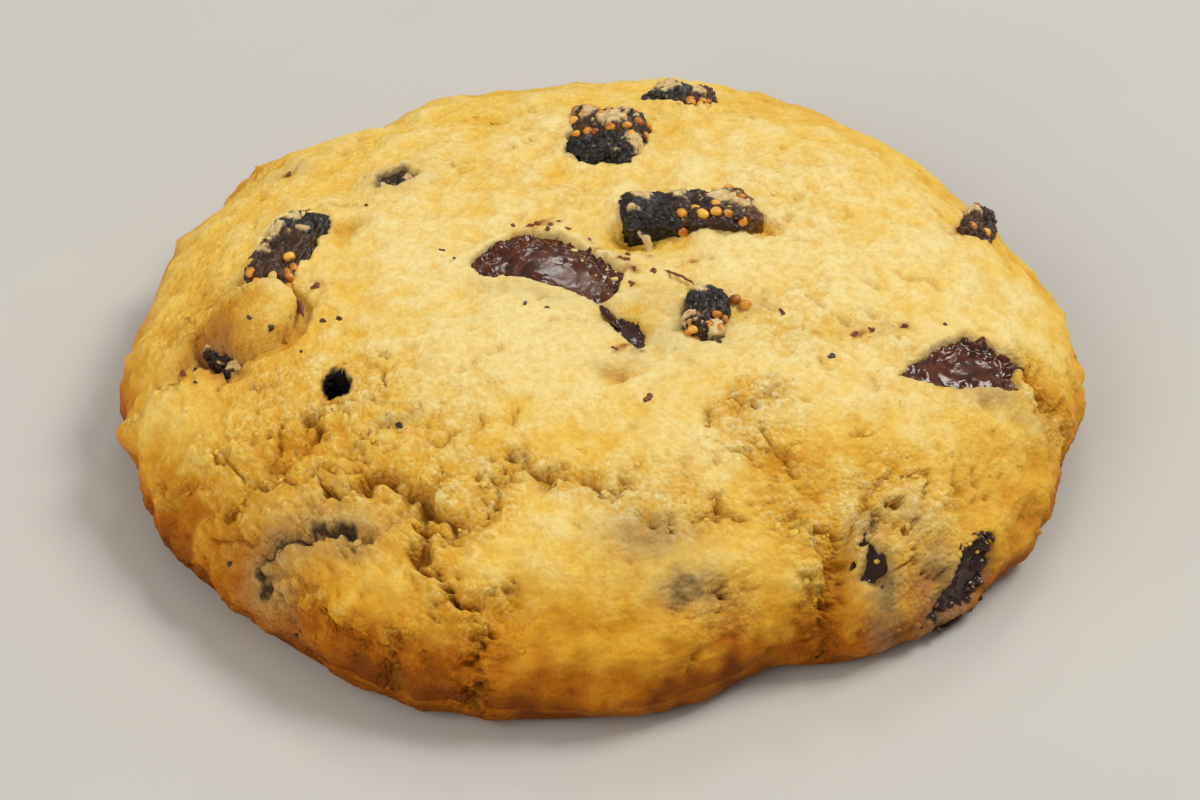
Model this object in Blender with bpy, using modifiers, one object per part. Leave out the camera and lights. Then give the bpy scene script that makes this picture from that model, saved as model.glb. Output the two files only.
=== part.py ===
"""A soft chocolate chip cookie with chopped dried fig, about 91 mm across and 17 mm thick.

The dough is one solid that lies on Z = 0, with +Z up and its most cracked side towards -Y. Each chunk of chocolate
and each piece of fig that shows is a solid of its own, which sits in a pocket of the dough with a small gap.
Sizes are in millimetres up to the point where a mesh is made, and Blender's metres from there on.
"""

import math
import random

import bmesh
import bpy
import numpy as np
from mathutils import Euler, Matrix, Vector, noise
from mathutils.bvhtree import BVHTree

MM = 0.001

# Driving dimensions of the cookie
RIM_RADIUS = 44.5
CENTRE_HEIGHT = 17.0
RIM_HEIGHT = 3.5  # where the side stands out furthest
BASE_SHARE = 0.93  # radius of the flat base as a share of the rim's
FOOT_LIFT = 0.2  # how far the underside is off the table between the low swells that it lies on
FOOT_SWELLS = ((25, 19), (-26, 18), (-22, -24), (23, -22))
FOOT_SWELL_RADIUS = 4.0
DOME_POWER = 3.0  # how flat the top is across the middle
EDGE_POWER = 2.2  # how round the shoulder is
POCKET_GAP = 0.4  # clear space between a piece and the dough round it
POCKET_TOP = 2.5  # how far a pocket's cutter stands over the skin
DOUGH_TRIANGLES = 7600

# The rim swells and draws in as the dough spreads: direction in degrees, how far in mm, half width in degrees.
RIM_LOBES = (
    (0, 0.7, 6),
    (35, -1.8, 20),
    (98, -1.3, 14),
    (125, -2.9, 8),
    (141, 0.9, 4),
    (184, 1.1, 4),
    (210, 1.4, 12),
    (250, 2.9, 22),
    (291, -3.0, 7),
    (322, 0.9, 14),
)

# Swells and dips of the top: x, y, half length, half width, turn in degrees, height. A dip has a negative height.
SWELLS = (
    (-6, -14, 13, 8, 0, 0.7),
    (22, -17, 12, 8, 20, 0.6),
    (22, 12, 14, 10, 20, 0.4),
    (3, -38, 9, 4, 0, 1.2),
    (-24, -36, 7, 4.5, -35, 1.0),
    (-35, -18, 6, 6, 0, 0.7),
    (-5.5, 0.5, 8, 4, -25, -0.7),
    (2.6, 5.4, 4.0, 2.2, -30, -1.8),
    (14.8, 6.0, 2.2, 1.8, 0, -1.2),
    (2.2, -9.8, 4.5, 1.5, -60, -1.6),
    (5.0, -5.6, 2.2, 1.6, 0, 0.9),
    (1.6, -15.6, 2.6, 1.2, 20, -1.6),
    (-31.5, 3.5, 5.0, 2.4, 62, -1.0),
    (-24.0, 8.5, 1.6, 1.0, 30, -1.6),
    (-35.2, -9.0, 3.0, 1.3, -50, -1.6),
    (-24.0, -14.9, 1.8, 2.6, 0, -0.8),
    (21.0, -35.0, 1.8, 5.0, 0, -2.0),
    (13.8, -41.0, 1.8, 3.0, 10, -1.8),
    (-8.0, -41.5, 2.4, 1.4, 30, -1.6),
)

# Steps of the skin, where one side of a split rose over the other: height, how far it reaches, and the points that
# each passes through with the higher side on the left.
STEPS = (
    (
        1.5, 3.6,
        ((-34.5, -10.2, 13.4), (-36.5, -9.9, 12.7), (-38.4, -10.2, 11.8), (-40.2, -11.1, 10.5), (-44, -11.6, 6)),
    ),
    (
        1.3, 3.0,
        ((-25.9, -19.1, 14.6), (-26.1, -22.3, 13.9), (-28.9, -25.7, 12.2), (-31.5, -26, 11), (-34, -27.6, 8.3)),
    ),
    (
        1.5, 4.0,
        ((19.5, -38.3, 2.8), (19.2, -36.8, 7.5), (19, -34.5, 10.3), (17.9, -31.6, 12.4), (16.1, -30.9, 13.1)),
    ),
    (0.8, 2.6, ((-8.9, -41.6, 10.6), (-12.6, -41.1, 10.7), (-15.8, -36.9, 12.3), (-16.5, -31, 14))),
    (
        0.6, 2.4,
        ((-26.2, -25.9, 13.2), (-21.4, -29, 13.6), (-18.6, -27.6, 14.5), (-12.7, -33.8, 13.9), (-7.8, -26.5, 15.7)),
    ),
)
STEP_BLEND = 0.8  # half the width over which a step rises

# The browned knob of dough that stands up near the left rim: centre, radii and height.
KNOB_CENTRE = (-32.4, -5.2)
KNOB_RADII = (4.7, 4.3)
KNOB_HEIGHT = 3.2

# Cracks that opened as the crust set: depth, half width, and the points that each one passes through.
CRACKS = (
    (1.8, 1.0, ((-26, -19, 14.6), (-26, -22, 14), (-29, -25.5, 12), (-31.5, -26, 11), (-34, -27.5, 8.5))),
    (2.0, 1.0, ((-26, -26, 13), (-23.5, -29, 13), (-20.5, -27.5, 14), (-18.5, -27.5, 14.5), (-15.5, -31, 14))),
    (2.0, 0.9, ((-15.5, -31, 14), (-12.5, -34, 14), (-10, -32, 14.5), (-8, -26.5, 15.7))),
    (1.2, 0.8, ((-5.5, -28.5, 15.4), (-2, -29.5, 15.3), (1.5, -30.5, 15))),
    (1.8, 1.0, ((-27.5, -37.5, 5), (-30, -34.5, 7), (-30.5, -32, 8.3), (-27.5, -31.5, 11), (-21, -33.5, 12.4))),
    (2.2, 1.1, ((-16, -31, 14), (-16, -37, 12.3), (-12.5, -41, 10.7), (-9, -41.5, 10.6))),
    (1.8, 0.9, ((-9, -42.5, 9.9), (-12, -45, 7), (-11.5, -45.5, 4.5), (-11, -45.7, 2.5))),
    (1.2, 0.8, ((-26.5, -36, 8.3), (-24, -39, 7.5), (-21.5, -41, 6.8))),
    (1.4, 0.9, ((-18.5, -42, 7.8), (-18.5, -43.5, 5.5), (-18.5, -43.7, 3))),
    (0.8, 0.7, ((11, -22.5, 15.7), (12.5, -19.5, 16), (15, -18, 16.1))),
    (1.2, 0.8, ((13.5, -24, 15.3), (16.5, -27, 14.3))),
    (2.2, 1.1, ((16, -31, 13.1), (19, -32.5, 11.7), (19, -35.5, 9.7), (19.3, -38, 6.6), (19.5, -38.5, 3))),
    (0.9, 0.8, ((3.5, -34, 14), (6, -34.3, 13.7), (10, -32, 13.6))),
    (1.4, 0.9, ((8, -40, 10.6), (9.3, -39.2, 10.6), (12, -39.6, 9))),
    (1.6, 0.9, ((26, -28.5, 12), (23.7, -30.7, 11.7), (23.3, -32.2, 10.9))),
)

# The crumbly skin: swells a few millimetres across, and finer crumbs.
LUMP_SPACING = 7.0
LUMP_HEIGHT = 0.55
CRUMB_SPACING = 2.2
CRUMB_HEIGHT = 0.22
RIM_RAGGEDNESS = 1.0

# An air hole that baked right open: the middle of its mouth, its half widths there, its depth, and how wide it is
# at its end as a share of its mouth.
AIR_HOLE_CENTRE = (-24.1, -14.9, 15.2)
AIR_HOLE_RADII = (1.1, 1.7)
AIR_HOLE_DEPTH = 5.0
AIR_HOLE_TAPER = 0.6

# Chocolate: the outline of each chunk where it meets the dough's skin, and how thick it is.
CHOCOLATE = {
    "chocolate_centre": (
        4.5,
        ((-12.6, 0.9, 17), (-11, 3.1, 17), (-8.3, 5.4, 17), (-4.4, 5.3, 17), (-0.3, 1.5, 17), (1.8, -0.4, 17),
         (1.3, -3.6, 17), (-0.5, -5.6, 17), (-4.0, -2.9, 17), (-7.7, -1.6, 17), (-10.8, -1.5, 17)),
    ),
    "chocolate_chip": (
        2.5,
        ((0.8, -8.3, 17), (1.8, -7.7, 17), (3.1, -8.5, 17), (3.8, -10.4, 17), (3.4, -11.8, 17), (2.4, -11.4, 17),
         (1.5, -10.2, 17)),
    ),
    "chocolate_right": (
        4.0,
        ((26.7, -14.3, 15), (29.9, -9.7, 14.7), (33.6, -6.0, 13.8), (36.6, -7.0, 12.6), (38.7, -7.4, 11.5),
         (37.5, -9.9, 12.0), (38.2, -11.2, 11.4), (32.5, -13.7, 13.6)),
    ),
    "chocolate_rim": (
        3.5,
        ((28.7, -34.3, 2.6), (30.4, -32.9, 5.2), (32.6, -29.9, 8.0), (34.9, -27.9, 7.4), (35.0, -28.9, 4.8),
         (33.6, -30.6, 2.6)),
    ),
    "chocolate_slit": (
        3.0,
        ((23.4, -31.9, 11.2), (24.6, -33.0, 9.9), (25.6, -33.9, 8.7), (24.3, -35.1, 7.8), (22.6, -35.2, 8.6),
         (23.2, -33.6, 9.9)),
    ),
}
CHOCOLATE_PROUD = 0.25  # how far the melted edge stands over the dough's skin
CHOCOLATE_CROWN = 0.5  # how far the middle stands over the edge
CHOCOLATE_CROWN_SHARE = 0.6  # how wide the crown is as a share of the chunk
CHOCOLATE_EDGE = 0.7  # how far down the sides go straight
CHOCOLATE_TAPER = 0.72  # how much narrower the buried underside is

# Dried fig: centre, size along its own axes, turn in degrees about X, Y and Z, number of seeds that show,
# and the band along its length where they lie.
FIG = {
    "fig_centre": ((8.3, 8.2, 15.0), (12.2, 6.3, 6.6), (-4, 3, 4), 11, (0.40, 0.85)),
    "fig_block": ((9.3, -7.9, 15.6), (4.1, 8.4, 6.8), (8, 6, -8), 5, (0.0, 1.0)),
    "fig_back": ((0.5, 20.9, 14.4), (8.4, 9.6, 6.6), (-6, -4, -14), 6, (0.30, 1.0)),
    "fig_back_rim": ((7.5, 30.9, 12.6), (6.2, 4.8, 5.4), (-14, 6, -24), 0, (0.0, 1.0)),
    "fig_left": ((-29.4, 5.0, 13.2), (6.0, 13.2, 6.4), (0, -12, -20), 4, (0.45, 1.0)),
    "fig_right_rim": ((34.8, 13.6, 10.4), (3.6, 6.8, 4.8), (-8, 32, -20), 2, (0.2, 1.0)),
    "fig_back_left": ((-19.6, 15.8, 14.0), (5.0, 3.8, 3.6), (0, -6, 20), 0, (0.0, 1.0)),
    "fig_under_knob": ((-34.7, -7.7, 11.2), (2.6, 5.8, 3.4), (0, -14, 39), 0, (0.0, 1.0)),
}
FIG_CHOP = 0.15  # how far off square each corner is, as a share of the piece's size
FIG_EDGE_CREASE = 0.38
FIG_WRINKLE_SPACING = 2.4
FIG_WRINKLE_HEIGHT = 0.4
SEED_RADIUS = 0.53
SEED_LENGTHENING = 1.2
SEED_APART = 1.1
SEED_TRIES = 600

# Colour, roughness of each material; the finish of the real things is matt dough, glossy chocolate, dull fig.
MATERIALS = {
    "dough": ((0.75, 0.50, 0.16), 0.85),
    "chocolate": ((0.045, 0.014, 0.008), 0.25),
    "fig": ((0.022, 0.015, 0.014), 0.55),
}


def clear_scene():
    for obj in list(bpy.data.objects):
        bpy.data.objects.remove(obj, do_unlink=True)


def collection(name):
    made = bpy.data.collections.new(name)
    bpy.context.scene.collection.children.link(made)
    return made


def material(name):
    colour, roughness = MATERIALS[name]
    made = bpy.data.materials.new(name)
    made.use_nodes = True
    shader = made.node_tree.nodes["Principled BSDF"]
    shader.inputs["Base Color"].default_value = (*colour, 1)
    shader.inputs["Roughness"].default_value = roughness
    shader.inputs["Metallic"].default_value = 0
    made.diffuse_color = (*colour, 1)
    return made


def mesh_object(bm, name, group):
    """Puts a bmesh into a new object, and frees the bmesh."""
    mesh = bpy.data.meshes.new(name)
    bm.to_mesh(mesh)
    bm.free()
    obj = bpy.data.objects.new(name, mesh)
    group.objects.link(obj)
    return obj


def applied(obj):
    """Replaces an object's mesh by what its modifiers make of it."""
    bpy.context.view_layer.update()
    graph = bpy.context.evaluated_depsgraph_get()
    made = bpy.data.meshes.new_from_object(obj.evaluated_get(graph))
    obj.modifiers.clear()
    obj.data = made
    return obj


def smoothstep(low, high, value):
    share = np.clip((value - low) / (high - low), 0, 1)
    return share * share * (3 - 2 * share)


def rim_radius(angle):
    """The rim's radius in the directions given, in degrees."""
    radius = np.full_like(angle, RIM_RADIUS)
    for direction, height, half_width in RIM_LOBES:
        away = (angle - direction + 180) % 360 - 180
        radius += height * np.exp(-((away / half_width) ** 2))
    return radius


def section():
    """The cookie's half section from the middle of its top, over the shoulder, to the middle of its base:
    shares of the rim's radius, heights, and how finely each stretch is to be meshed."""
    over = np.linspace(0, math.pi / 2, 140)
    under = np.linspace(0, math.pi / 2, 24)[1:]
    share = np.concatenate(
        [np.sin(over) ** (2 / DOME_POWER), BASE_SHARE + (1 - BASE_SHARE) * np.cos(under), [0.0]]
    )
    height = np.concatenate(
        [
            RIM_HEIGHT + (CENTRE_HEIGHT - RIM_HEIGHT) * np.cos(over) ** (2 / EDGE_POWER),
            RIM_HEIGHT * (1 - np.sin(under)),
            [0.0],
        ]
    )
    fineness = np.where(np.arange(len(share)) < len(share) - 1, 1.0, 0.2)
    return share, height, fineness


def spread_sphere(points):
    """Lays the points of a unit sphere over the cookie's skin so that they stay evenly spaced, in millimetres."""
    share, height, fineness = section()
    step = np.hypot(np.diff(share * RIM_RADIUS), np.diff(height))
    area = (share[1:] + share[:-1]) * step * fineness[1:]
    reached = np.concatenate([[0], np.cumsum(area)]) / area.sum()
    along = (1 - points[:, 2]) / 2
    across = np.interp(along, reached, share)
    up = np.interp(along, reached, height)
    angle = np.arctan2(points[:, 1], points[:, 0])
    radius = across * (RIM_RADIUS + (rim_radius(np.degrees(angle)) - RIM_RADIUS) * across**2)
    return np.stack([radius * np.cos(angle), radius * np.sin(angle), up], axis=1)


def away_from_line(points, line):
    """Each point's distance to a line through several points."""
    nearest = np.full(len(points), np.inf)
    corners = np.array(line, float)
    for start, end in zip(corners[:-1], corners[1:]):
        span = end - start
        share = np.clip((points - start) @ span / (span @ span), 0, 1)
        gone = points - start - share[:, None] * span
        nearest = np.minimum(nearest, np.linalg.norm(gone, axis=1))
    return nearest


def step_beside(points, line, height, reach):
    """How far up a step moves each point: its left side rises, its right side sinks, and its ends fade out."""
    corners = np.array(line, float)
    lengths = np.linalg.norm(np.diff(corners, axis=0), axis=1)
    begun = np.concatenate([[0], np.cumsum(lengths)]) / lengths.sum()
    nearest = np.full(len(points), np.inf)
    side = np.zeros(len(points))
    along = np.zeros(len(points))
    for number, (start, end) in enumerate(zip(corners[:-1], corners[1:])):
        span = end - start
        share = np.clip((points - start) @ span / (span @ span), 0, 1)
        gone = points - start - share[:, None] * span
        away = np.linalg.norm(gone, axis=1)
        closer = away < nearest
        nearest[closer] = away[closer]
        side[closer] = (span[0] * gone[:, 1] - span[1] * gone[:, 0])[closer]
        along[closer] = (begun[number] + share * (begun[number + 1] - begun[number]))[closer]
    raised = smoothstep(-STEP_BLEND, STEP_BLEND, np.copysign(nearest, side)) - 0.35
    return height * raised * np.exp(-((nearest / reach) ** 2)) * np.clip(4 * along * (1 - along), 0, 1)


def in_ellipse(points, x, y, half_length, half_width, turn):
    """Each point's distance from a centre, where 1 is on the ellipse."""
    cos, sin = math.cos(math.radians(turn)), math.sin(math.radians(turn))
    dx, dy = points[:, 0] - x, points[:, 1] - y
    return np.hypot((dx * cos + dy * sin) / half_length, (dy * cos - dx * sin) / half_width)


def fractal(points, spacing, octaves):
    return np.array([noise.fractal(Vector(p / spacing), 1.0, 2.0, octaves) for p in points])


def top_relief(points):
    """How far up the skin is moved by its swells, its dips and the knob, in millimetres."""
    rise = np.zeros(len(points))
    for x, y, half_length, half_width, turn, height in SWELLS:
        rise += height * np.exp(-(in_ellipse(points, x, y, half_length, half_width, turn) ** 2))
    knob = in_ellipse(points, *KNOB_CENTRE, *KNOB_RADII, 0)
    rise += KNOB_HEIGHT * np.sqrt(np.clip(1 - knob**2, 0, 1))
    return rise * smoothstep(RIM_HEIGHT, RIM_HEIGHT * 2, points[:, 2])


def skin_relief(points):
    """How far out the skin is moved by lumps, crumbs, cracks and steps, in millimetres."""
    out = LUMP_HEIGHT * fractal(points, LUMP_SPACING, 2)
    out += CRUMB_HEIGHT * fractal(points + 50, CRUMB_SPACING, 2)
    rim = smoothstep(0.9, 1.0, np.hypot(points[:, 0], points[:, 1]) / RIM_RADIUS)
    out += RIM_RAGGEDNESS * rim * fractal(points + 90, LUMP_SPACING * 0.6, 3)
    for depth, half_width, line in CRACKS:
        ragged = half_width * (1 + 0.5 * fractal(points + 20, CRUMB_SPACING, 1))
        out -= depth * np.exp(-((away_from_line(points, line) / ragged) ** 2))
    for height, reach, line in STEPS:
        out += step_beside(points, line, height, reach)
    return out * smoothstep(0.2, 2.0, points[:, 2])


def underside(points):
    """How high over the table the underside is at the points given."""
    height = np.full(len(points), FOOT_LIFT)
    for x, y in FOOT_SWELLS:
        away = np.hypot(points[:, 0] - x, points[:, 1] - y)
        height = np.minimum(height, FOOT_LIFT * smoothstep(FOOT_SWELL_RADIUS, 2 * FOOT_SWELL_RADIUS, away))
    return height


def lay_flat(dough):
    """Puts the corners of the swells that carry the cookie exactly on the table, and none below it."""
    points = np.array([v.co for v in dough.data.vertices]) / MM
    lying = (underside(points) < FOOT_LIFT / 4) & (points[:, 2] < FOOT_LIFT / 2)
    lowest = np.where(lying, 0, np.maximum(points[:, 2], underside(points)))
    for vertex, height in zip(dough.data.vertices, lowest):
        vertex.co.z = height * MM


def make_dough(group):
    """The dough with its relief and the air hole, before the pockets are cut."""
    bm = bmesh.new()
    bmesh.ops.create_cube(bm, size=2)
    bmesh.ops.subdivide_edges(bm, edges=bm.edges, cuts=63, use_grid_fill=True)
    sphere = np.array([v.co.normalized() for v in bm.verts])
    points = spread_sphere(sphere)
    points[:, 2] += top_relief(points)
    for vertex, point in zip(bm.verts, points):
        vertex.co = point
    bm.normal_update()
    normals = np.array([v.normal for v in bm.verts])
    points += normals * skin_relief(points)[:, None]
    points[:, 2] = np.maximum(points[:, 2], underside(points))
    for vertex, point in zip(bm.verts, points):
        vertex.co = Vector(point) * MM
    bmesh.ops.triangulate(bm, faces=bm.faces)
    faces = len(bm.faces)
    dough = mesh_object(bm, "cookie_dough", group)
    thinner = dough.modifiers.new("fewer_faces", "DECIMATE")
    thinner.ratio = DOUGH_TRIANGLES / faces
    applied(dough)
    lay_flat(dough)
    return dough


def skin_of(obj):
    bm = bmesh.new()
    bm.from_mesh(obj.data)
    tree = BVHTree.FromBMesh(bm)
    bm.free()
    return tree


def on_skin(skin, point):
    """The place on the dough's skin nearest to a point given in millimetres, and the way out of the dough there."""
    place, normal, _, _ = skin.find_nearest(Vector(point) * MM)
    return place, normal


def outline_sides(places, out):
    """The way straight out of a flat outline at each of its corners."""
    sides = []
    for before, after in zip(places[-1:] + places[:-1], places[1:] + places[:1]):
        sides.append((before - after).cross(out).normalized())
    return sides


def make_chocolate(name, skin, group, cutters):
    """A chunk whose edge follows the dough's skin, with a crowned top and a narrower underside, and its cutter."""
    depth, outline = CHOCOLATE[name]
    places, normals = zip(*(on_skin(skin, point) for point in outline))
    out = sum(normals, Vector()).normalized()
    middle = sum(places, Vector()) / len(places)
    sides = outline_sides(list(places), out)

    def slab(object_name, target, grow, top_lift, depth):
        bm = bmesh.new()
        layers = (
            (CHOCOLATE_CROWN_SHARE, top_lift + 0.8 * CHOCOLATE_CROWN),
            (1.0, top_lift),
            (1.0, -CHOCOLATE_EDGE),
            (CHOCOLATE_TAPER, -depth),
        )
        rings = []
        for scale, lift in layers:
            ring = []
            for place, side in zip(places, sides):
                flat = place - middle
                ring.append(bm.verts.new(middle + flat * scale + (side * grow + out * lift) * MM))
            rings.append(ring)
        top = bm.verts.new(middle + out * (top_lift + CHOCOLATE_CROWN) * MM)
        bottom = bm.verts.new(middle - out * (depth + CHOCOLATE_CROWN) * MM)
        for i in range(len(places)):
            j = (i + 1) % len(places)
            bm.faces.new((top, rings[0][i], rings[0][j]))
            for upper, lower in zip(rings[:-1], rings[1:]):
                bm.faces.new((upper[i], lower[i], lower[j]))
                bm.faces.new((upper[i], lower[j], upper[j]))
            bm.faces.new((bottom, rings[-1][j], rings[-1][i]))
        bmesh.ops.recalc_face_normals(bm, faces=bm.faces)
        return mesh_object(bm, object_name, target)

    chunk = slab(name, group, 0.0, CHOCOLATE_PROUD, depth)
    cutter = slab(name + "_pocket", cutters, POCKET_GAP, POCKET_TOP, depth + POCKET_GAP)
    return chunk, cutter


def rough_block(size, draw):
    """A chopped piece of fig with soft edges and wrinkled sides, about its own centre."""
    bm = bmesh.new()
    bmesh.ops.create_cube(bm, size=1)
    for vertex in bm.verts:
        vertex.co += Vector(draw.uniform(-FIG_CHOP, FIG_CHOP) for _ in range(3))
    bm.transform(Matrix.Diagonal((*(Vector(size) * MM), 1)))
    crease = bm.edges.layers.float.new("crease_edge")
    for edge in bm.edges:
        edge[crease] = FIG_EDGE_CREASE
    block = mesh_object(bm, "block", bpy.context.scene.collection)
    rounder = block.modifiers.new("soft_edges", "SUBSURF")
    rounder.levels = rounder.render_levels = 2
    applied(block)
    bm = bmesh.new()
    bm.from_mesh(block.data)
    bpy.data.objects.remove(block)
    bm.normal_update()
    start = Vector((draw.uniform(0, 50), 0, 0))
    shifts = []
    for vertex in bm.verts:
        place = vertex.co / (FIG_WRINKLE_SPACING * MM) + start
        shifts.append(vertex.normal * noise.fractal(place, 1.0, 2.0, 2) * FIG_WRINKLE_HEIGHT * MM)
    for vertex, shift in zip(bm.verts, shifts):
        vertex.co += shift
    return bm


def seed_places(bm, turned, size, count, band, draw):
    """Points of the block for its seeds: on its upper side, in a band of its length, and apart from each other."""
    long_axis = 0 if size[0] >= size[1] else 1
    bm.faces.ensure_lookup_table()
    bm.normal_update()
    chosen = []
    for _ in range(SEED_TRIES):
        face = draw.choice(bm.faces)
        corners = [v.co for v in face.verts]
        near, far = corners[0].lerp(corners[1], draw.random()), corners[3].lerp(corners[2], draw.random())
        spot = near.lerp(far, draw.random())
        share = spot[long_axis] / (size[long_axis] * MM) + 0.5
        in_air = (turned @ face.normal).z > 0.35 and band[0] <= share <= band[1]
        clear = all((spot - other).length > SEED_APART * 2 * SEED_RADIUS * MM for other, _ in chosen)
        if in_air and clear and len(chosen) < count:
            chosen.append((spot, face.normal.copy()))
    return chosen


def make_fig(name, number, group, cutters):
    """A piece of fig with its seeds fused on, and the cutter of its pocket."""
    centre, size, turn, seeds, band = FIG[name]
    turned = Euler([math.radians(angle) for angle in turn]).to_matrix()
    placed = Matrix.Translation(Vector(centre) * MM) @ turned.to_4x4()
    draw = random.Random(number)
    bm = rough_block(size, draw)
    spots = seed_places(bm, turned, size, seeds, band, draw)
    bm.transform(placed)
    grown = bm.copy()
    fig = mesh_object(bm, name, group)
    if spots:
        kernels = collection(name + "_seeds")
        for spot, normal in spots:
            kernel = bmesh.new()
            bmesh.ops.create_uvsphere(kernel, u_segments=6, v_segments=4, radius=SEED_RADIUS * MM)
            lean = Vector((draw.uniform(-1, 1), draw.uniform(-1, 1), draw.uniform(-0.3, 0.3)))
            along = lean.cross(normal).to_track_quat("X", "Z").to_matrix().to_4x4()
            egg = along @ Matrix.Diagonal((SEED_LENGTHENING, 1, 0.9, 1))
            kernel.transform(placed @ Matrix.Translation(spot) @ egg)
            mesh_object(kernel, name + "_seed", kernels)
        fuse = fig.modifiers.new("seeds", "BOOLEAN")
        fuse.operation = "UNION"
        fuse.operand_type = "COLLECTION"
        fuse.collection = kernels
        fuse.solver = "EXACT"
        applied(fig)
        for kernel in list(kernels.objects):
            bpy.data.objects.remove(kernel)
        bpy.data.collections.remove(kernels)
    grown.normal_update()
    bmesh.ops.smooth_vert(grown, verts=grown.verts, factor=0.3, use_axis_x=True, use_axis_y=True, use_axis_z=True)
    for vertex in grown.verts:
        vertex.co += vertex.normal * POCKET_GAP * 1.6 * MM
    return fig, mesh_object(grown, name + "_pocket", cutters)


def make_air_hole(cutters):
    """A tapered plug that reaches as far over the skin as it goes down into the dough."""
    bm = bmesh.new()
    bmesh.ops.create_cone(
        bm,
        cap_ends=True,
        segments=14,
        radius1=AIR_HOLE_TAPER,
        radius2=2 - AIR_HOLE_TAPER,
        depth=2 * AIR_HOLE_DEPTH,
    )
    stretch = Matrix.Diagonal((*AIR_HOLE_RADII, 1, 1))
    bm.transform(Matrix.Scale(MM, 4) @ Matrix.Translation(AIR_HOLE_CENTRE) @ stretch)
    return mesh_object(bm, "air_hole_pocket", cutters)


def cut(body, cutter):
    """Takes the cutter's shape out of the body at once."""
    pocket = body.modifiers.new(cutter.name, "BOOLEAN")
    pocket.operation = "DIFFERENCE"
    pocket.solver = "EXACT"
    pocket.object = cutter
    applied(body)
    bpy.data.objects.remove(cutter)


def centre_on_origin(objects):
    """Moves the cookie so that the middle of its outline is over the origin."""
    points = np.array([v.co for obj in objects for v in obj.data.vertices])
    middle = (points.min(axis=0) + points.max(axis=0)) / 2
    for obj in objects:
        obj.data.transform(Matrix.Translation((-middle[0], -middle[1], 0)))


def main():
    clear_scene()
    cookie = collection("chocolate_chip_cookie")
    cutters = collection("cutters")
    dough = make_dough(cookie)
    skin = skin_of(dough)
    pieces = {}
    pockets = [make_air_hole(cutters)]
    for name in CHOCOLATE:
        pieces[name], pocket = make_chocolate(name, skin, cookie, cutters)
        pockets.append(pocket)
    for number, name in enumerate(FIG, start=1):
        pieces[name], pocket = make_fig(name, number, cookie, cutters)
        pockets.append(pocket)
    for pocket in pockets:
        cut(dough, pocket)
    looks = {name: material(name) for name in MATERIALS}
    for name, obj in {"cookie_dough": dough, **pieces}.items():
        look = "dough" if name == "cookie_dough" else name.split("_")[0]
        obj.data.materials.clear()
        obj.data.materials.append(looks[look])
        obj.data.shade_smooth()
    centre_on_origin([dough, *pieces.values()])


main()
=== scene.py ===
"""A soft chocolate chip cookie with chopped dried fig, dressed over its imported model.

Lengths are in millimetres until a mesh is written, and in metres from there on.
"""

import math
import random

import bpy
import numpy as np
from mathutils import Euler, Matrix, Vector, noise
from mathutils.kdtree import KDTree


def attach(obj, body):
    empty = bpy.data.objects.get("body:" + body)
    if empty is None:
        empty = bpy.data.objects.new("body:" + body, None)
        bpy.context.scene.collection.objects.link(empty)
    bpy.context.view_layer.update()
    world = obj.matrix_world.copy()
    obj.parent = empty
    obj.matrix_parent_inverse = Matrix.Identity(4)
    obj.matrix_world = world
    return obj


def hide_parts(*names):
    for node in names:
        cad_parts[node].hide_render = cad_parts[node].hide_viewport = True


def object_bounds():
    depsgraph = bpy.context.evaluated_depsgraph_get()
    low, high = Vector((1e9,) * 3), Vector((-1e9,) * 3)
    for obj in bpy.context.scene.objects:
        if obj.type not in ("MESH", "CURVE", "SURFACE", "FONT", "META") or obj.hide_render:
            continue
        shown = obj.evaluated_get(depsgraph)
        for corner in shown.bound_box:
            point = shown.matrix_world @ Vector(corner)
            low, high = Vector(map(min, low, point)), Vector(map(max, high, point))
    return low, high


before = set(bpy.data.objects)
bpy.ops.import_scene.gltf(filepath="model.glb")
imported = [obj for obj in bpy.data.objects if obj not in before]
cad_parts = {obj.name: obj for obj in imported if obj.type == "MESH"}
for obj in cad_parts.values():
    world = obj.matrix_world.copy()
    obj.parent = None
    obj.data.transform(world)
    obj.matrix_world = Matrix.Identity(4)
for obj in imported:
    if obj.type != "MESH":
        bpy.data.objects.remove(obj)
cad_box = np.array(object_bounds())


# Dough: a butter dough with little flour, dropped from a scoop and baked pale. It spread into lobes, its skin set and
# then cracked open over the soft middle, mostly at the front left, and its foot browned on the tray.
MM = 0.001
DOUGH_CUTS = (7, 15)  # 128 faces along each side of the cube that the dough starts from
BASE_FINENESS = 0.03  # the share of faces on the flat base, which needs no relief
CENTRED = np.array([-0.111, 1.445, 0.0])  # from the middle of the scoop to the middle of the baked outline
RIM_RADIUS = 44.5
CENTRE_HEIGHT = 17.0
RIM_HEIGHT = 3.5
BASE_SHARE = 0.93
DOME_POWER = 3.0
EDGE_POWER = 2.2
# Direction in degrees, swell in mm, half width in degrees.
RIM_LOBES = (
    (0, 0.7, 6),
    (35, -1.8, 20),
    (98, -1.3, 14),
    (125, -2.9, 8),
    (141, 0.9, 4),
    (184, 1.1, 4),
    (210, 1.4, 12),
    (250, 2.9, 22),
    (291, -3.0, 7),
    (322, 0.9, 14),
)
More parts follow.
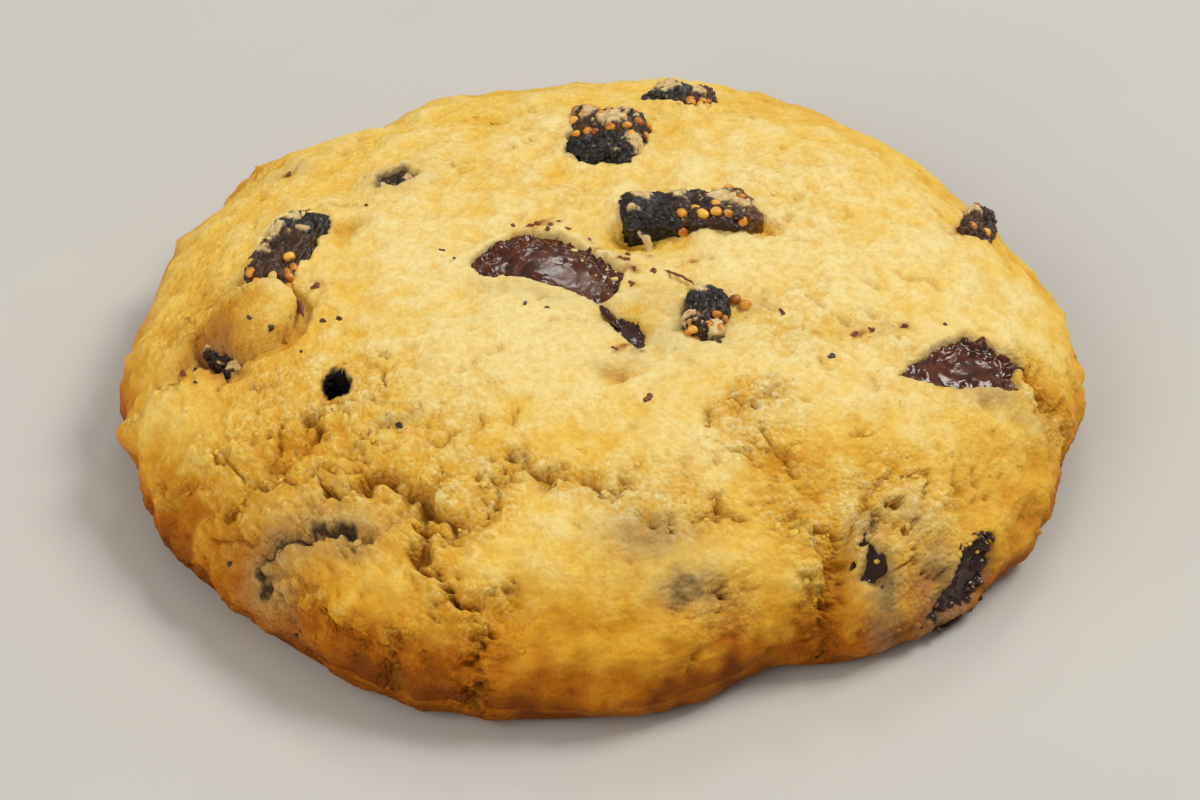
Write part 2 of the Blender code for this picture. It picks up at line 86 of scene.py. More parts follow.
# x, y, half length, half width, turn in degrees, height.
SWELLS = (
    (-6, -14, 13, 8, 0, 0.7),
    (22, -17, 12, 8, 20, 0.6),
    (22, 12, 14, 10, 20, 0.4),
    (3, -38, 9, 4, 0, 1.2),
    (-24, -36, 7, 4.5, -35, 1.0),
    (-35, -18, 6, 6, 0, 0.7),
    (-5.5, 0.5, 8, 4, -25, -0.7),
    (2.6, 5.4, 4.0, 2.2, -30, -1.8),
    (14.8, 6.0, 2.2, 1.8, 0, -1.2),
    (2.2, -9.8, 4.5, 1.5, -60, -1.6),
    (5.0, -5.6, 2.2, 1.6, 0, 0.9),
    (1.6, -15.6, 2.6, 1.2, 20, -1.6),
    (-31.5, 3.5, 5.0, 2.4, 62, -1.0),
    (-24.0, 8.5, 1.6, 1.0, 30, -1.6),
    (-35.2, -9.0, 3.0, 1.3, -50, -1.6),
    (-24.0, -14.9, 1.8, 2.6, 0, -0.8),
    (21.0, -35.0, 1.8, 5.0, 0, -2.0),
    (13.8, -41.0, 1.8, 3.0, 10, -1.8),
    (-8.0, -41.5, 2.4, 1.4, 30, -1.6),
)
# Height, reach, and the points that each step passes through with the higher side on the left.
STEPS = (
    (
        1.5, 3.6,
        ((-34.5, -10.2, 13.4), (-36.5, -9.9, 12.7), (-38.4, -10.2, 11.8), (-40.2, -11.1, 10.5), (-44, -11.6, 6)),
    ),
    (
        1.3, 3.0,
        ((-25.9, -19.1, 14.6), (-26.1, -22.3, 13.9), (-28.9, -25.7, 12.2), (-31.5, -26, 11), (-34, -27.6, 8.3)),
    ),
    (
        1.2, 4.0,
        ((19.5, -38.3, 2.8), (19.2, -36.8, 7.5), (19, -34.5, 10.3), (17.9, -31.6, 12.4), (16.1, -30.9, 13.1)),
    ),
    (0.8, 2.6, ((-8.9, -41.6, 10.6), (-12.6, -41.1, 10.7), (-15.8, -36.9, 12.3), (-16.5, -31, 14))),
    (
        0.6, 2.4,
        ((-26.2, -25.9, 13.2), (-21.4, -29, 13.6), (-18.6, -27.6, 14.5), (-12.7, -33.8, 13.9), (-7.8, -26.5, 15.7)),
    ),
)
STEP_BLEND = 0.5
KNOB_CENTRE = (-32.4, -5.2)
KNOB_RADII = (4.7, 4.3)
KNOB_HEIGHT = 3.2
# Depth, half width, and the points that each crack passes through.
CRACKS = (
    (1.8, 1.0, ((-26, -19, 14.6), (-26, -22, 14), (-29, -25.5, 12), (-31.5, -26, 11), (-34, -27.5, 8.5))),
    (2.0, 1.0, ((-26, -26, 13), (-23.5, -29, 13), (-20.5, -27.5, 14), (-18.5, -27.5, 14.5), (-15.5, -31, 14))),
    (2.0, 0.9, ((-15.5, -31, 14), (-12.5, -34, 14), (-10, -32, 14.5), (-8, -26.5, 15.7))),
    (1.2, 0.8, ((-5.5, -28.5, 15.4), (-2, -29.5, 15.3), (1.5, -30.5, 15))),
    (0.9, 0.9, ((-27.5, -37.5, 5), (-30, -34.5, 7), (-30.5, -32, 8.3), (-27.5, -31.5, 11), (-21, -33.5, 12.4))),
    (2.2, 1.1, ((-16, -31, 14), (-16, -37, 12.3), (-12.5, -41, 10.7), (-9, -41.5, 10.6))),
    (1.8, 0.9, ((-9, -42.5, 9.9), (-12, -45, 7), (-11.5, -45.5, 4.5), (-11, -45.7, 2.5))),
    (1.2, 0.8, ((-26.5, -36, 8.3), (-24, -39, 7.5), (-21.5, -41, 6.8))),
    (1.4, 0.9, ((-18.5, -42, 7.8), (-18.5, -43.5, 5.5), (-18.5, -43.7, 3))),
    (0.8, 0.7, ((11, -22.5, 15.7), (12.5, -19.5, 16), (15, -18, 16.1))),
    (1.2, 0.8, ((13.5, -24, 15.3), (16.5, -27, 14.3))),
    (0.7, 0.7, ((16, -31, 13.1), (19, -32.5, 11.7), (19, -35.5, 9.7), (19.3, -38, 6.6), (19.5, -38.5, 3))),
    (0.9, 0.8, ((3.5, -34, 14), (6, -34.3, 13.7), (10, -32, 13.6))),
    (1.4, 0.9, ((8, -40, 10.6), (9.3, -39.2, 10.6), (12, -39.6, 9))),
    (1.6, 0.9, ((26, -28.5, 12), (23.7, -30.7, 11.7), (23.3, -32.2, 10.9))),
    (1.3, 0.8, ((38.9, -9.0, 11.4), (40.4, -10.8, 9.9), (42.3, -11.6, 7.6), (43.2, -12.2, 5.5))),
)
LUMP_SPACING = 7.0
LUMP_HEIGHT = 0.55
CRUMB_SPACING = 2.2
CRUMB_HEIGHT = 0.24
RIM_RAGGEDNESS = 0.7
CRACK_WANDER = 0.9
CLOD_SPACING = 3.2  # the crust breaks into clods, and those into crumbs
CLOD_HEIGHT = 0.62
BIT_SPACING = 2.0
BIT_HEIGHT = 0.34
GRAIN_SPACING = 0.95
GRAIN_HEIGHT = 0.28
FINE_SPACING = 0.7
FINE_HEIGHT = 0.10
PIT_COUNT = 700
TEAR_COUNT = 340
# The open air hole: the middle of its mouth, its radii there, its depth.
AIR_HOLE_CENTRE = (-24.1, -14.9)
AIR_HOLE_RADII = (1.05, 1.45)
AIR_HOLE_DEPTH = 2.2
CHUNK_SINK = 1.8  # how far the dough drops under a chocolate chunk
CHUNK_LIP = 0.28
FIG_SINK = 1.2
SLIP_SINK = 0.5
FIG_LIP = 0.35


def smoothstep(low, high, value):
    """0 before the low value, 1 past the high one, and a smooth rise between; the low one may be the larger."""
    share = np.clip((value - low) / (high - low), 0, 1)
    return share * share * (3 - 2 * share)


def rim_radius(angle):
    """The outline's radius in each direction, in degrees, with its lobes."""
    radius = np.full_like(angle, RIM_RADIUS)
    for direction, height, half_width in RIM_LOBES:
        away = (angle - direction + 180) % 360 - 180
        radius += height * np.exp(-((away / half_width) ** 2))
    return radius


def spread_sphere(points, base_fineness):
    """Lays the points of a unit sphere evenly over the cookie's skin, with a coarser mesh on the flat base."""
    over = np.linspace(0, math.pi / 2, 140)
    under = np.linspace(0, math.pi / 2, 24)[1:]
    share = np.concatenate(
        [np.sin(over) ** (2 / DOME_POWER), BASE_SHARE + (1 - BASE_SHARE) * np.cos(under), [0.0]]
    )
    height = np.concatenate(
        [
            RIM_HEIGHT + (CENTRE_HEIGHT - RIM_HEIGHT) * np.cos(over) ** (2 / EDGE_POWER),
            RIM_HEIGHT * (1 - np.sin(under)),
            [0.0],
        ]
    )
    area = (share[1:] + share[:-1]) * np.hypot(np.diff(share * RIM_RADIUS), np.diff(height))
    area[-1] *= base_fineness
    reached = np.concatenate([[0], np.cumsum(area)]) / area.sum()
    along = (1 - points[:, 2]) / 2
    across = np.interp(along, reached, share)
    up = np.interp(along, reached, height)
    angle = np.arctan2(points[:, 1], points[:, 0])
    radius = across * (RIM_RADIUS + (rim_radius(np.degrees(angle)) - RIM_RADIUS) * across**2)
    return np.stack([radius * np.cos(angle), radius * np.sin(angle), up], axis=1)


def beside_line(points, line):
    """Each point's distance to a line through several points, its side of it, and how far along it lies, 0 to 1."""
    corners = np.array(line, float)
    lengths = np.linalg.norm(np.diff(corners, axis=0), axis=1)
    begun = np.concatenate([[0], np.cumsum(lengths)]) / lengths.sum()
    nearest = np.full(len(points), np.inf)
    side = np.zeros(len(points))
    along = np.zeros(len(points))
    for number, (start, end) in enumerate(zip(corners[:-1], corners[1:])):
        span = end - start
        share = np.clip((points - start) @ span / (span @ span), 0, 1)
        gone = points - start - share[:, None] * span
        away = np.linalg.norm(gone, axis=1)
        closer = away < nearest
        nearest[closer] = away[closer]
        side[closer] = (span[0] * gone[:, 1] - span[1] * gone[:, 0])[closer]
        along[closer] = (begun[number] + share * (begun[number + 1] - begun[number]))[closer]
    return nearest, side, along


def in_ellipse(points, x, y, half_length, half_width, turn):
    """How far out each point lies in an ellipse of the plan: 0 in the middle and 1 on its edge."""
    cos, sin = math.cos(math.radians(turn)), math.sin(math.radians(turn))
    dx, dy = points[:, 0] - x, points[:, 1] - y
    return np.hypot((dx * cos + dy * sin) / half_length, (dy * cos - dx * sin) / half_width)


def fractal(points, spacing, octaves):
    return np.array([noise.fractal(Vector(p / spacing), 1.0, 2.0, octaves) for p in points])


def billows(points, spacing, octaves):
    """Rounded swells with sharp creases between them, about their own mean."""
    height = np.array([noise.turbulence(Vector(p / spacing), octaves, True) for p in points])
    return height - height.mean()


noise.seed_set(7)  # without a seed, noise_vector starts from the clock, and no two runs are alike


def wandered(points, spacing, amount):
    """The points moved a little by noise, so that what is measured from them has a ragged edge."""
    return points + amount * np.array([noise.noise_vector(Vector(p / spacing)) for p in points])


def grains(points, spacing):
    """Rounded grains with creases between them, from 0 in a crease to about 1 on a grain."""
    height = np.empty(len(points))
    for index, point in enumerate(points / spacing):
        near = noise.voronoi(Vector(point))[0]
        height[index] = near[1] - near[0]
    return np.clip(height * 1.6, 0, 1) ** 0.6


def fine_sphere(name, cuts):
    """A cube primitive, subdivided and blown up to a unit sphere of even faces. Returns it and its points."""
    bpy.ops.object.select_all(action="DESELECT")
    bpy.ops.mesh.primitive_cube_add(size=2)
    obj = bpy.context.object
    obj.name = obj.data.name = name
    bpy.ops.object.mode_set(mode="EDIT")
    bpy.ops.mesh.select_all(action="SELECT")
    for number in cuts:
        bpy.ops.mesh.subdivide(number_cuts=number)
    bpy.ops.object.mode_set(mode="OBJECT")
    points = get_points(obj)
    points = np.tan(points * math.pi / 4)
    return obj, points / np.linalg.norm(points, axis=1)[:, None]


def get_points(obj):
    points = np.empty(len(obj.data.vertices) * 3)
    obj.data.vertices.foreach_get("co", points)
    return points.reshape(-1, 3)


def set_points(obj, points):
    obj.data.vertices.foreach_set("co", np.ascontiguousarray(points).ravel())
    obj.data.update()


def get_normals(obj):
    normals = np.empty(len(obj.data.vertices) * 3)
    obj.data.vertices.foreach_get("normal", normals)
    return normals.reshape(-1, 3)


def paint(obj, name, values):
    """Keeps one number a vertex, for the material to read."""
    layer = obj.data.attributes.new(name, "FLOAT", "POINT")
    layer.data.foreach_set("value", np.ascontiguousarray(values, dtype=np.float32))


# The pieces that show, as part of the dough's shape: the outline of each chunk at the skin.
CHOCOLATE = {
    "chocolate_centre": (
        (-12.6, 0.9, 17), (-11, 3.1, 17), (-8.3, 5.4, 17), (-4.4, 5.3, 17), (-0.3, 1.5, 17), (1.8, -0.4, 17),
        (1.3, -3.6, 17), (-0.5, -5.6, 17), (-4.0, -2.9, 17), (-7.7, -1.6, 17), (-10.8, -1.5, 17),
    ),
    "chocolate_chip": (
        (0.8, -8.3, 17), (1.8, -7.7, 17), (3.1, -8.5, 17), (3.8, -10.4, 17), (3.4, -11.8, 17), (2.4, -11.4, 17),
        (1.5, -10.2, 17),
    ),
    "chocolate_right": (
        (26.7, -14.3, 15), (29.9, -9.7, 14.7), (33.6, -6.0, 13.8), (36.6, -7.0, 12.6), (38.7, -7.4, 11.5),
        (37.5, -9.9, 12.0), (38.2, -11.2, 11.4), (32.5, -13.7, 13.6),
    ),
    "chocolate_rim": (
        (28.7, -34.3, 2.6), (30.4, -32.9, 5.2), (32.6, -29.9, 8.0), (34.9, -27.9, 7.4), (35.0, -28.9, 4.8),
        (33.6, -30.6, 2.6),
    ),
    "chocolate_slit": (
        (23.4, -31.9, 11.2), (24.6, -33.0, 9.9), (25.6, -33.9, 8.7), (24.3, -35.1, 7.8), (22.6, -35.2, 8.6),
        (23.2, -33.6, 9.9),
    ),
}
# Centre, size along its own axes, turn in degrees about X, Y and Z.
FIG = {
    "fig_centre": ((8.3, 8.2, 15.0), (12.2, 6.3, 6.6), (-4, 3, 4)),
    "fig_block": ((9.3, -7.9, 15.6), (4.1, 8.4, 6.8), (8, 6, -8)),
    "fig_back": ((0.5, 20.9, 14.4), (8.4, 9.6, 6.6), (-6, -4, -14)),
    "fig_back_rim": ((7.5, 30.9, 12.6), (6.2, 4.8, 5.4), (-14, 6, -24)),
    "fig_left": ((-29.4, 5.0, 13.2), (6.0, 13.2, 6.4), (0, -12, -20)),
    "fig_right_rim": ((34.8, 13.6, 10.4), (3.6, 6.8, 4.8), (-8, 32, -20)),
    "fig_back_left": ((-19.6, 15.8, 14.0), (5.0, 3.8, 3.6), (0, -6, 20)),
    "fig_under_knob": ((-34.7, -7.7, 11.2), (2.6, 5.8, 3.4), (0, -14, 39)),
}


def fig_frame(name):
    """A fig piece's centre, its size, and its own axes."""
    centre, size, turn = FIG[name]
    turned = np.array(Euler([math.radians(angle) for angle in turn]).to_matrix())
    return np.array(centre), np.array(size), turned


def skin_frame(outline):
    """The middle of an outline on the skin, and the way along, across and out of it there."""
    outline = np.array(outline, float)
    middle = outline.mean(axis=0)
    out = np.linalg.svd(outline - middle)[2][2] if np.ptp(outline[:, 2]) > 0.5 else np.array([0.0, 0.0, 1.0])
    if out @ (middle * (1, 1, 0) / 60 + (0, 0, 1)) < 0:
        out = -out
    along = np.cross([0.0, 1.0, 0.0], out)
    along /= np.linalg.norm(along)
    return middle, np.stack([along, np.cross(out, along), out])


def outside_outline(flat, outline):
    """How far each point of a plane is outside a closed outline there, or inside it where negative."""
    inside = np.zeros(len(flat), bool)
    nearest = np.full(len(flat), np.inf)
    for start, end in zip(outline, np.roll(outline, -1, axis=0)):
        span = end - start
        share = np.clip((flat - start) @ span / (span @ span), 0, 1)
        nearest = np.minimum(nearest, np.linalg.norm(flat - start - share[:, None] * span, axis=1))
        above = (start[1] > flat[:, 1]) != (end[1] > flat[:, 1])
        crossing = start[0] + (flat[:, 1] - start[1]) * span[0] / np.where(span[1] == 0, 1e-9, span[1])
        inside ^= above & (flat[:, 0] < crossing)
    return np.where(inside, -nearest, nearest)


def opening(points, outline, reach):
    """The distance outside an outline for the points near it."""
    middle, axes = skin_frame(outline)
    local = (points - middle) @ axes.T
    near = (np.abs(local[:, 2]) < 6) & (np.linalg.norm(local[:, :2], axis=1) < reach)
    flat = (np.array(outline, float) - middle) @ axes.T
    away = np.full(len(points), 99.0)
    away[near] = outside_outline(local[near, :2], flat[:, :2])
    return away


def outside_fig(points, name):
    """About how far each point is outside the upright wall of a fig piece, or inside it where negative."""
    centre, size, turned = fig_frame(name)
    local = (points - centre) @ turned
    reach = size[:2] * 0.48
    share = (np.abs(local[:, :2]) / reach) ** 3
    away = (share.sum(axis=1) ** (1 / 3) - 1) * reach.min()
    return np.where(np.abs(local[:, 2]) < size[2] * 0.6, away, 99.0)


dough, sphere = fine_sphere("cookie_dough_crumb", DOUGH_CUTS)
points = spread_sphere(sphere, BASE_FINENESS)

swell = np.zeros(len(points))
for x, y, half_length, half_width, turn, height in SWELLS:
    swell += height * np.exp(-(in_ellipse(points, x, y, half_length, half_width, turn) ** 2))
knob = in_ellipse(points, *KNOB_CENTRE, *KNOB_RADII, 0)
swell += KNOB_HEIGHT * np.sqrt(np.clip(1 - knob**2, 0, 1))
points[:, 2] += swell * smoothstep(RIM_HEIGHT, RIM_HEIGHT * 2, points[:, 2])

set_points(dough, points)
normals = get_normals(dough)
ragged = wandered(points, 1.7, CRACK_WANDER)
ragged = wandered(ragged, 0.6, CRACK_WANDER * 0.45)
frayed = wandered(points, 1.1, 0.4)
broken_edge = wandered(points, 2.4, 0.9)
lump = fractal(points, LUMP_SPACING, 2)
dimple = fractal(points + 50, CRUMB_SPACING, 2)
relief = LUMP_HEIGHT * lump + CRUMB_HEIGHT * dimple
# Small knobs on the rim: x, y, z, radius, height.
RIM_KNOBS = (
    (-43.5, -10.8, 5.5, 1.7, 1.9),
    (-41.6, -13.6, 9.4, 2.6, 0.7),
    (42.4, -9.2, 7.8, 1.6, 0.9),
    (15.2, -38.6, 6.0, 3.0, 0.8),
    (-22.5, 40.5, 8.0, 2.2, 0.7),
)
for x, y, z, radius, height in RIM_KNOBS:
    away = np.linalg.norm(points - (x, y, z), axis=1)
    relief += height * np.exp(-((away / radius) ** 2))
at_rim = smoothstep(0.9, 1.0, np.hypot(points[:, 0], points[:, 1]) / RIM_RADIUS)
relief += RIM_RAGGEDNESS * at_rim * fractal(points + 90, LUMP_SPACING * 0.6, 2)

# Cracks: a split with steep, ragged walls in a shallow sag, and lifted edges, one of which often stands higher. The
# material paints each split darker as shade.
split = np.zeros(len(points))
crumbled = np.zeros(len(points))
lifted = np.zeros(len(points))
uneven = np.clip(0.75 + 1.3 * fractal(points + 15, 2.4, 2), 0.15, 1.5)
for depth, half_width, line in CRACKS:
    away, _, _ = beside_line(ragged, line)
    wall = 0.42 * half_width * uneven
    split = np.maximum(split, 0.85 * depth * smoothstep(wall + 0.34, wall - 0.22, away))
    relief -= 0.22 * depth * np.exp(-((away / (1.5 * half_width)) ** 2))
    lifted = np.maximum(lifted, 0.3 * np.exp(-(((away - 1.2) / 0.7) ** 2)))
    crumbled = np.maximum(crumbled, np.exp(-((away / 2.6) ** 2)))
relief += lifted
for height, reach, line in STEPS:
    away, side, along = beside_line(broken_edge, line)
    raised = smoothstep(-STEP_BLEND, STEP_BLEND, np.copysign(away, side)) - 0.35
    relief += height * raised * np.exp(-((away / reach) ** 2)) * np.clip(4 * along * (1 - along), 0, 1)
    crumbled = np.maximum(crumbled, 0.8 * np.exp(-((away / 2.0) ** 2)))

# How broken the crust is: most at the front left, and in patches right of the middle; little where it stayed soft.
BROKEN = (
    (-27, -25, 17, 15, 0, 0.85),
    (-36, -6, 7, 14, 0, 0.55),
    (18, -8, 10, 8, 0, 0.5),
    (24, -30, 11, 9, 0, 0.8),
    (13, -25, 8, 6, 0, 0.6),
    (33, -20, 8, 8, 0, 0.4),
    (41, -10, 4, 3, 0, 0.9),
    (4, -31, 14, 7, 0, 0.5),
    (-2, 14, 30, 8, 0, 0.25),
    (-36, 30, 8, 12, 0, 0.5),
    (10, 43, 18, 5, 0, 0.5),
    (39, 24, 7, 10, 0, 0.45),
)
broken = np.zeros(len(points))
for x, y, half_length, half_width, turn, strength in BROKEN:
    broken = np.maximum(broken, strength * np.exp(-(in_ellipse(points, x, y, half_length, half_width, turn) ** 2)))
broken = np.clip(np.maximum(broken, crumbled) + 0.3 * fractal(points + 33, 8.0, 2), 0.08, 1)

# Fine clefts part the clods of the broken crust.
CLEFT_SPACING = 5.6
CLEFT_DEPTH = 0.7
bent = wandered(wandered(points + 8, 2.6, 1.1), 0.8, 0.35) / CLEFT_SPACING
between_clods = np.empty(len(points))
for index, point in enumerate(bent):
    near = noise.voronoi(Vector(point))[0]
    between_clods[index] = (near[1] - near[0]) * CLEFT_SPACING
patchy = fractal(points + 44, 3.5, 2)
cleft = smoothstep(0.50, 0.14, between_clods) * smoothstep(0.50, 0.85, broken + 0.6 * patchy) * (points[:, 2] > 2)
split = np.maximum(split, CLEFT_DEPTH * cleft)

# Pits and short tears.
draw = random.Random(5)
tree = KDTree(len(points))
for index, point in enumerate(ragged):
    tree.insert(point, index)
tree.balance()
pores = np.zeros(len(points))
skin = np.flatnonzero(points[:, 2] > 3)
for _ in range(PIT_COUNT):
    spot = skin[draw.randrange(len(skin))]
    if draw.random() > broken[spot] + 0.12:
        continue
    size = 0.25 + 0.4 * draw.random() ** 2
    depth = size * draw.uniform(0.5, 1.2)
    narrow = draw.uniform(0.5, 1.0)
    heading = draw.uniform(0, math.pi)
    cos, sin = math.cos(heading), math.sin(heading)
    for place, index, _ in tree.find_range(points[spot], size * 2.6):
        dx, dy, dz = place - Vector(points[spot])
        away = ((dx * cos + dy * sin) ** 2 + ((dy * cos - dx * sin) / narrow) ** 2 + dz * dz) / size**2
        pores[index] = max(pores[index], depth * math.exp(-away))
for _ in range(TEAR_COUNT):
    spot = skin[draw.randrange(len(skin))]
    if draw.random() > broken[spot] + 0.2:
        continue
    heading = draw.uniform(0, math.pi)
    line = [points[spot]]
    for _ in range(draw.randint(1, 3)):
        heading += draw.uniform(-0.9, 0.9)
        ahead = line[-1] + draw.uniform(0.7, 1.6) * np.array([math.cos(heading), math.sin(heading), 0])
        corner = points[np.argmin(((points - ahead)[:, :2] ** 2).sum(axis=1) + (points[:, 2] < 3) * 99)]
        if np.linalg.norm(corner - line[-1]) > 0.2:
            line.append(corner)
    if len(line) > 1 and np.ptp([corner[2] for corner in line]) < 3:
        close = np.flatnonzero(np.linalg.norm(points - points[spot], axis=1) < 7)
        away, _, _ = beside_line(ragged[close], line)
        torn = draw.uniform(0.3, 0.9) * np.exp(-((away / draw.uniform(0.25, 0.4)) ** 2))
        pores[close] = np.maximum(pores[close], torn)

crumb = CLOD_HEIGHT * billows(wandered(points + 70, 2.0, 0.5), CLOD_SPACING, 3) * (0.28 + 0.42 * broken**1.5)
crumb += BIT_HEIGHT * (grains(wandered(points + 5, 1.3, 0.5), BIT_SPACING) - 0.6) * broken
crumb += GRAIN_HEIGHT * (grains(wandered(points, 1.0, 0.35), GRAIN_SPACING) - 0.6) * (0.25 + 0.8 * broken)
crumb += FINE_HEIGHT * fractal(points + 20, FINE_SPACING, 2)
on_knob = np.sqrt(np.clip(1.1 - knob, 0, 1)) * (points[:, 2] > 8)
crumb *= 1 - 0.5 * on_knob
around_knob = np.exp(-(((knob - 1.06) / 0.10) ** 2)) * (points[:, 2] > 8)
relief += crumb - split - pores - 0.7 * around_knob

# Each chunk lies in an opening of the dough with a slightly raised, ragged lip. The dough clings to each fig piece.
opened = np.full(len(points), 99.0)
for name, outline in CHOCOLATE.items():
    away = opening(frayed, outline, 14)
    opened = np.minimum(opened, away)
    relief -= CHUNK_SINK * smoothstep(0.25, -0.45, away)
    relief += CHUNK_LIP * np.exp(-(((away - 0.7) / 0.7) ** 2))
for name in FIG:
    away = outside_fig(ragged, name)
    opened = np.minimum(opened, away + 0.3)
    relief -= (SLIP_SINK if name == "fig_under_knob" else FIG_SINK) * smoothstep(-0.2, -1.2, away)
    relief += FIG_LIP * np.exp(-(((away - 0.3) / 0.7) ** 2))

above_foot = smoothstep(0.2, 2.0, points[:, 2])
points += normals * (relief * above_foot)[:, None]
hole = in_ellipse(wandered(points, 1.5, 0.3), *AIR_HOLE_CENTRE, *AIR_HOLE_RADII, 0)
above_hole = points[:, 2] > 8
points[:, 2] -= AIR_HOLE_DEPTH * smoothstep(1.15, 0.45, hole) * above_hole

# What the material needs to know: how deep a point lies in a split, a pit or the groove round the knob, where it
# paints shade; whether it stands up or lies low among the crumbs, for a painted highlight on top and painted shade
# between; how browned it is, painted shade included; and where chocolate stains it.
crevice_shade = np.clip((split + 0.55 * pores + 0.6 * around_knob) / 1.1, 0, 1)
high = np.clip(0.5 + crumb / 0.42, 0, 1)
# Browning rises towards the foot, which is real, but the low sides are painted darker than that as shade. The right
# side is painted paler where the window's light falls, the front left a little darker, and the raised lumps paler
# than the dimples.
brown_and_shade = np.interp(points[:, 2], (0, 2, 5, 9, 12, 14.5, 16.5, 17.6), (1.0, 0.94, 0.68, 0.38, 0.26, 0.20, 0.10, 0.0))
brown_and_shade += 0.06 * np.exp(-(in_ellipse(points, -30, -26, 16, 16, 0) ** 2))
brown_and_shade -= 0.16 * np.exp(-(in_ellipse(points, 36, -4, 12, 26, 0) ** 2))
brown_and_shade += 0.10 * fractal(points + 10, 9.0, 3) + 0.05 * fractal(points + 60, 2.5, 2) - 0.10 * lump - 0.12 * dimple
# Golden brown spots: real browning where the crust caught the heat, as on the knob, and painted shade in the hollows
# beside the fig pieces and chunks, at the knob's lower left and in the recesses along the front: x, y, half length,
# half width, turn, strength.
BROWNING_AND_HOLLOW_SHADE = (
    (-32.6, -5.6, 4.6, 4.0, 0, 0.34),
    (-35.4, -7.0, 2.2, 3.2, 30, 0.30),
    (0.8, -15.4, 2.0, 1.1, 0, 0.12),
    (3.2, -9.6, 1.6, 3.2, -20, 0.30),
    (-27.3, -21.2, 2.8, 1.8, 20, 0.18),
    (-24.0, 8.5, 1.4, 0.8, 30, 0.14),
    (2.4, 5.0, 3.4, 1.8, -30, 0.35),
    (15.0, 6.2, 1.8, 1.6, 0, 0.30),
    (20.4, -35.0, 0.8, 5.0, 0, 0.20),
    (-6.0, -45.0, 24.0, 5.0, 0, 0.14),
    (15.0, -27.0, 3.0, 2.0, 20, 0.22),
    (26.0, -24.0, 7.0, 4.0, 20, 0.12),
    (-20.0, -42.0, 9.0, 4.0, -20, 0.14),
    (40.6, -9.4, 2.4, 1.6, -20, 0.28),
    (11.6, -42.2, 1.5, 3.0, 10, 0.24),
)
for x, y, half_length, half_width, turn, strength in BROWNING_AND_HOLLOW_SHADE:
    spot = np.exp(-(in_ellipse(ragged, x, y, half_length, half_width, turn) ** 2))
    brown_and_shade += strength * spot * (points[:, 2] > 3)
# Grey-brown smears where chocolate lies just under the skin: x, y, half length, half width, turn, strength.
STAINS = (
    (-18.4, -20.8, 2.2, 1.3, 0, 0.40),
    (7.6, -39.5, 3.0, 1.5, 15, 0.85),
    (4.0, -35.6, 4.8, 3.0, 0, 0.62),
    (-6.0, -4.4, 7.0, 1.2, -18, 0.30),
    (6.0, -9.5, 4.6, 4.0, 0, 0.27),
    (4.6, -4.6, 3.4, 2.6, 0, 0.22),
    (-19.8, 15.6, 2.6, 1.9, 0, 0.60),
    (35.0, -13.4, 5.0, 1.5, -8, 0.50),
    (24.6, -35.2, 1.6, 2.4, 20, 0.80),
    (23.6, -31.6, 1.2, 1.6, 0, 0.70),
    (30.4, -33.0, 3.2, 2.4, 50, 0.75),
    (27.5, -29.5, 3.0, 2.0, 0, 0.35),
    (14.0, -5.4, 1.6, 1.2, 0, 0.25),
    (-35.4, -8.8, 3.0, 1.3, -50, 0.75),
    (-29.5, 20.6, 2.0, 1.4, 0, 0.35),
    (10.6, -11.4, 1.8, 0.9, 0, 0.3),
    (0.8, -15.4, 1.8, 1.0, 0, 0.36),
    (-24.0, 8.5, 1.3, 0.8, 30, 0.34),
    (3.2, -13.2, 0.5, 0.9, 20, 0.8),
)
# Dark lines where chocolate broke through the skin: strength, half width, the points that each passes through.
STAIN_LINES = (
    (
        1.2, 0.85,
        ((-30.3, -34.2, 6.4), (-30.4, -32.5, 8.3), (-28.8, -31.9, 9.8), (-25.1, -31.7, 11.8), (-22, -33, 12.3)),
    ),
    (0.9, 0.50, ((-28.2, -38.4, 5.0), (-28.6, -36.6, 5.7), (-28.0, -35.4, 7.0))),
    (0.8, 0.45, ((-0.3, -5.4, 17.0), (0.4, -7.2, 17.0), (1.2, -8.8, 17.0))),
    (0.8, 0.35, ((3.0, -11.6, 16.9), (2.9, -13.6, 16.8))),
    (0.9, 0.55, ((4.2, -37.4, 12.3), (7.0, -39.0, 11.2), (9.6, -38.6, 11.0))),
    (0.7, 0.40, ((0.0, -36.4, 13.0), (2.4, -35.6, 13.4))),
)
stain = np.zeros(len(points))
for x, y, half_length, half_width, turn, strength in STAINS:
    stain = np.maximum(stain, strength * np.exp(-(in_ellipse(ragged, x, y, half_length, half_width, turn) ** 2)))
for strength, half_width, line in STAIN_LINES:
    away, _, _ = beside_line(ragged, line)
    stain = np.maximum(stain, strength * np.exp(-((away / half_width) ** 2)))
    stain = np.maximum(stain, 0.48 * strength * np.exp(-((away / (3.2 * half_width)) ** 2)))
stain *= (points[:, 2] > 1.5) * np.clip(1.0 + 0.7 * fractal(points + 30, 1.6, 3), 0, 1)
stain = np.clip(np.maximum(stain, 0.8 * smoothstep(0.30, -0.2, opened)), 0, 1)
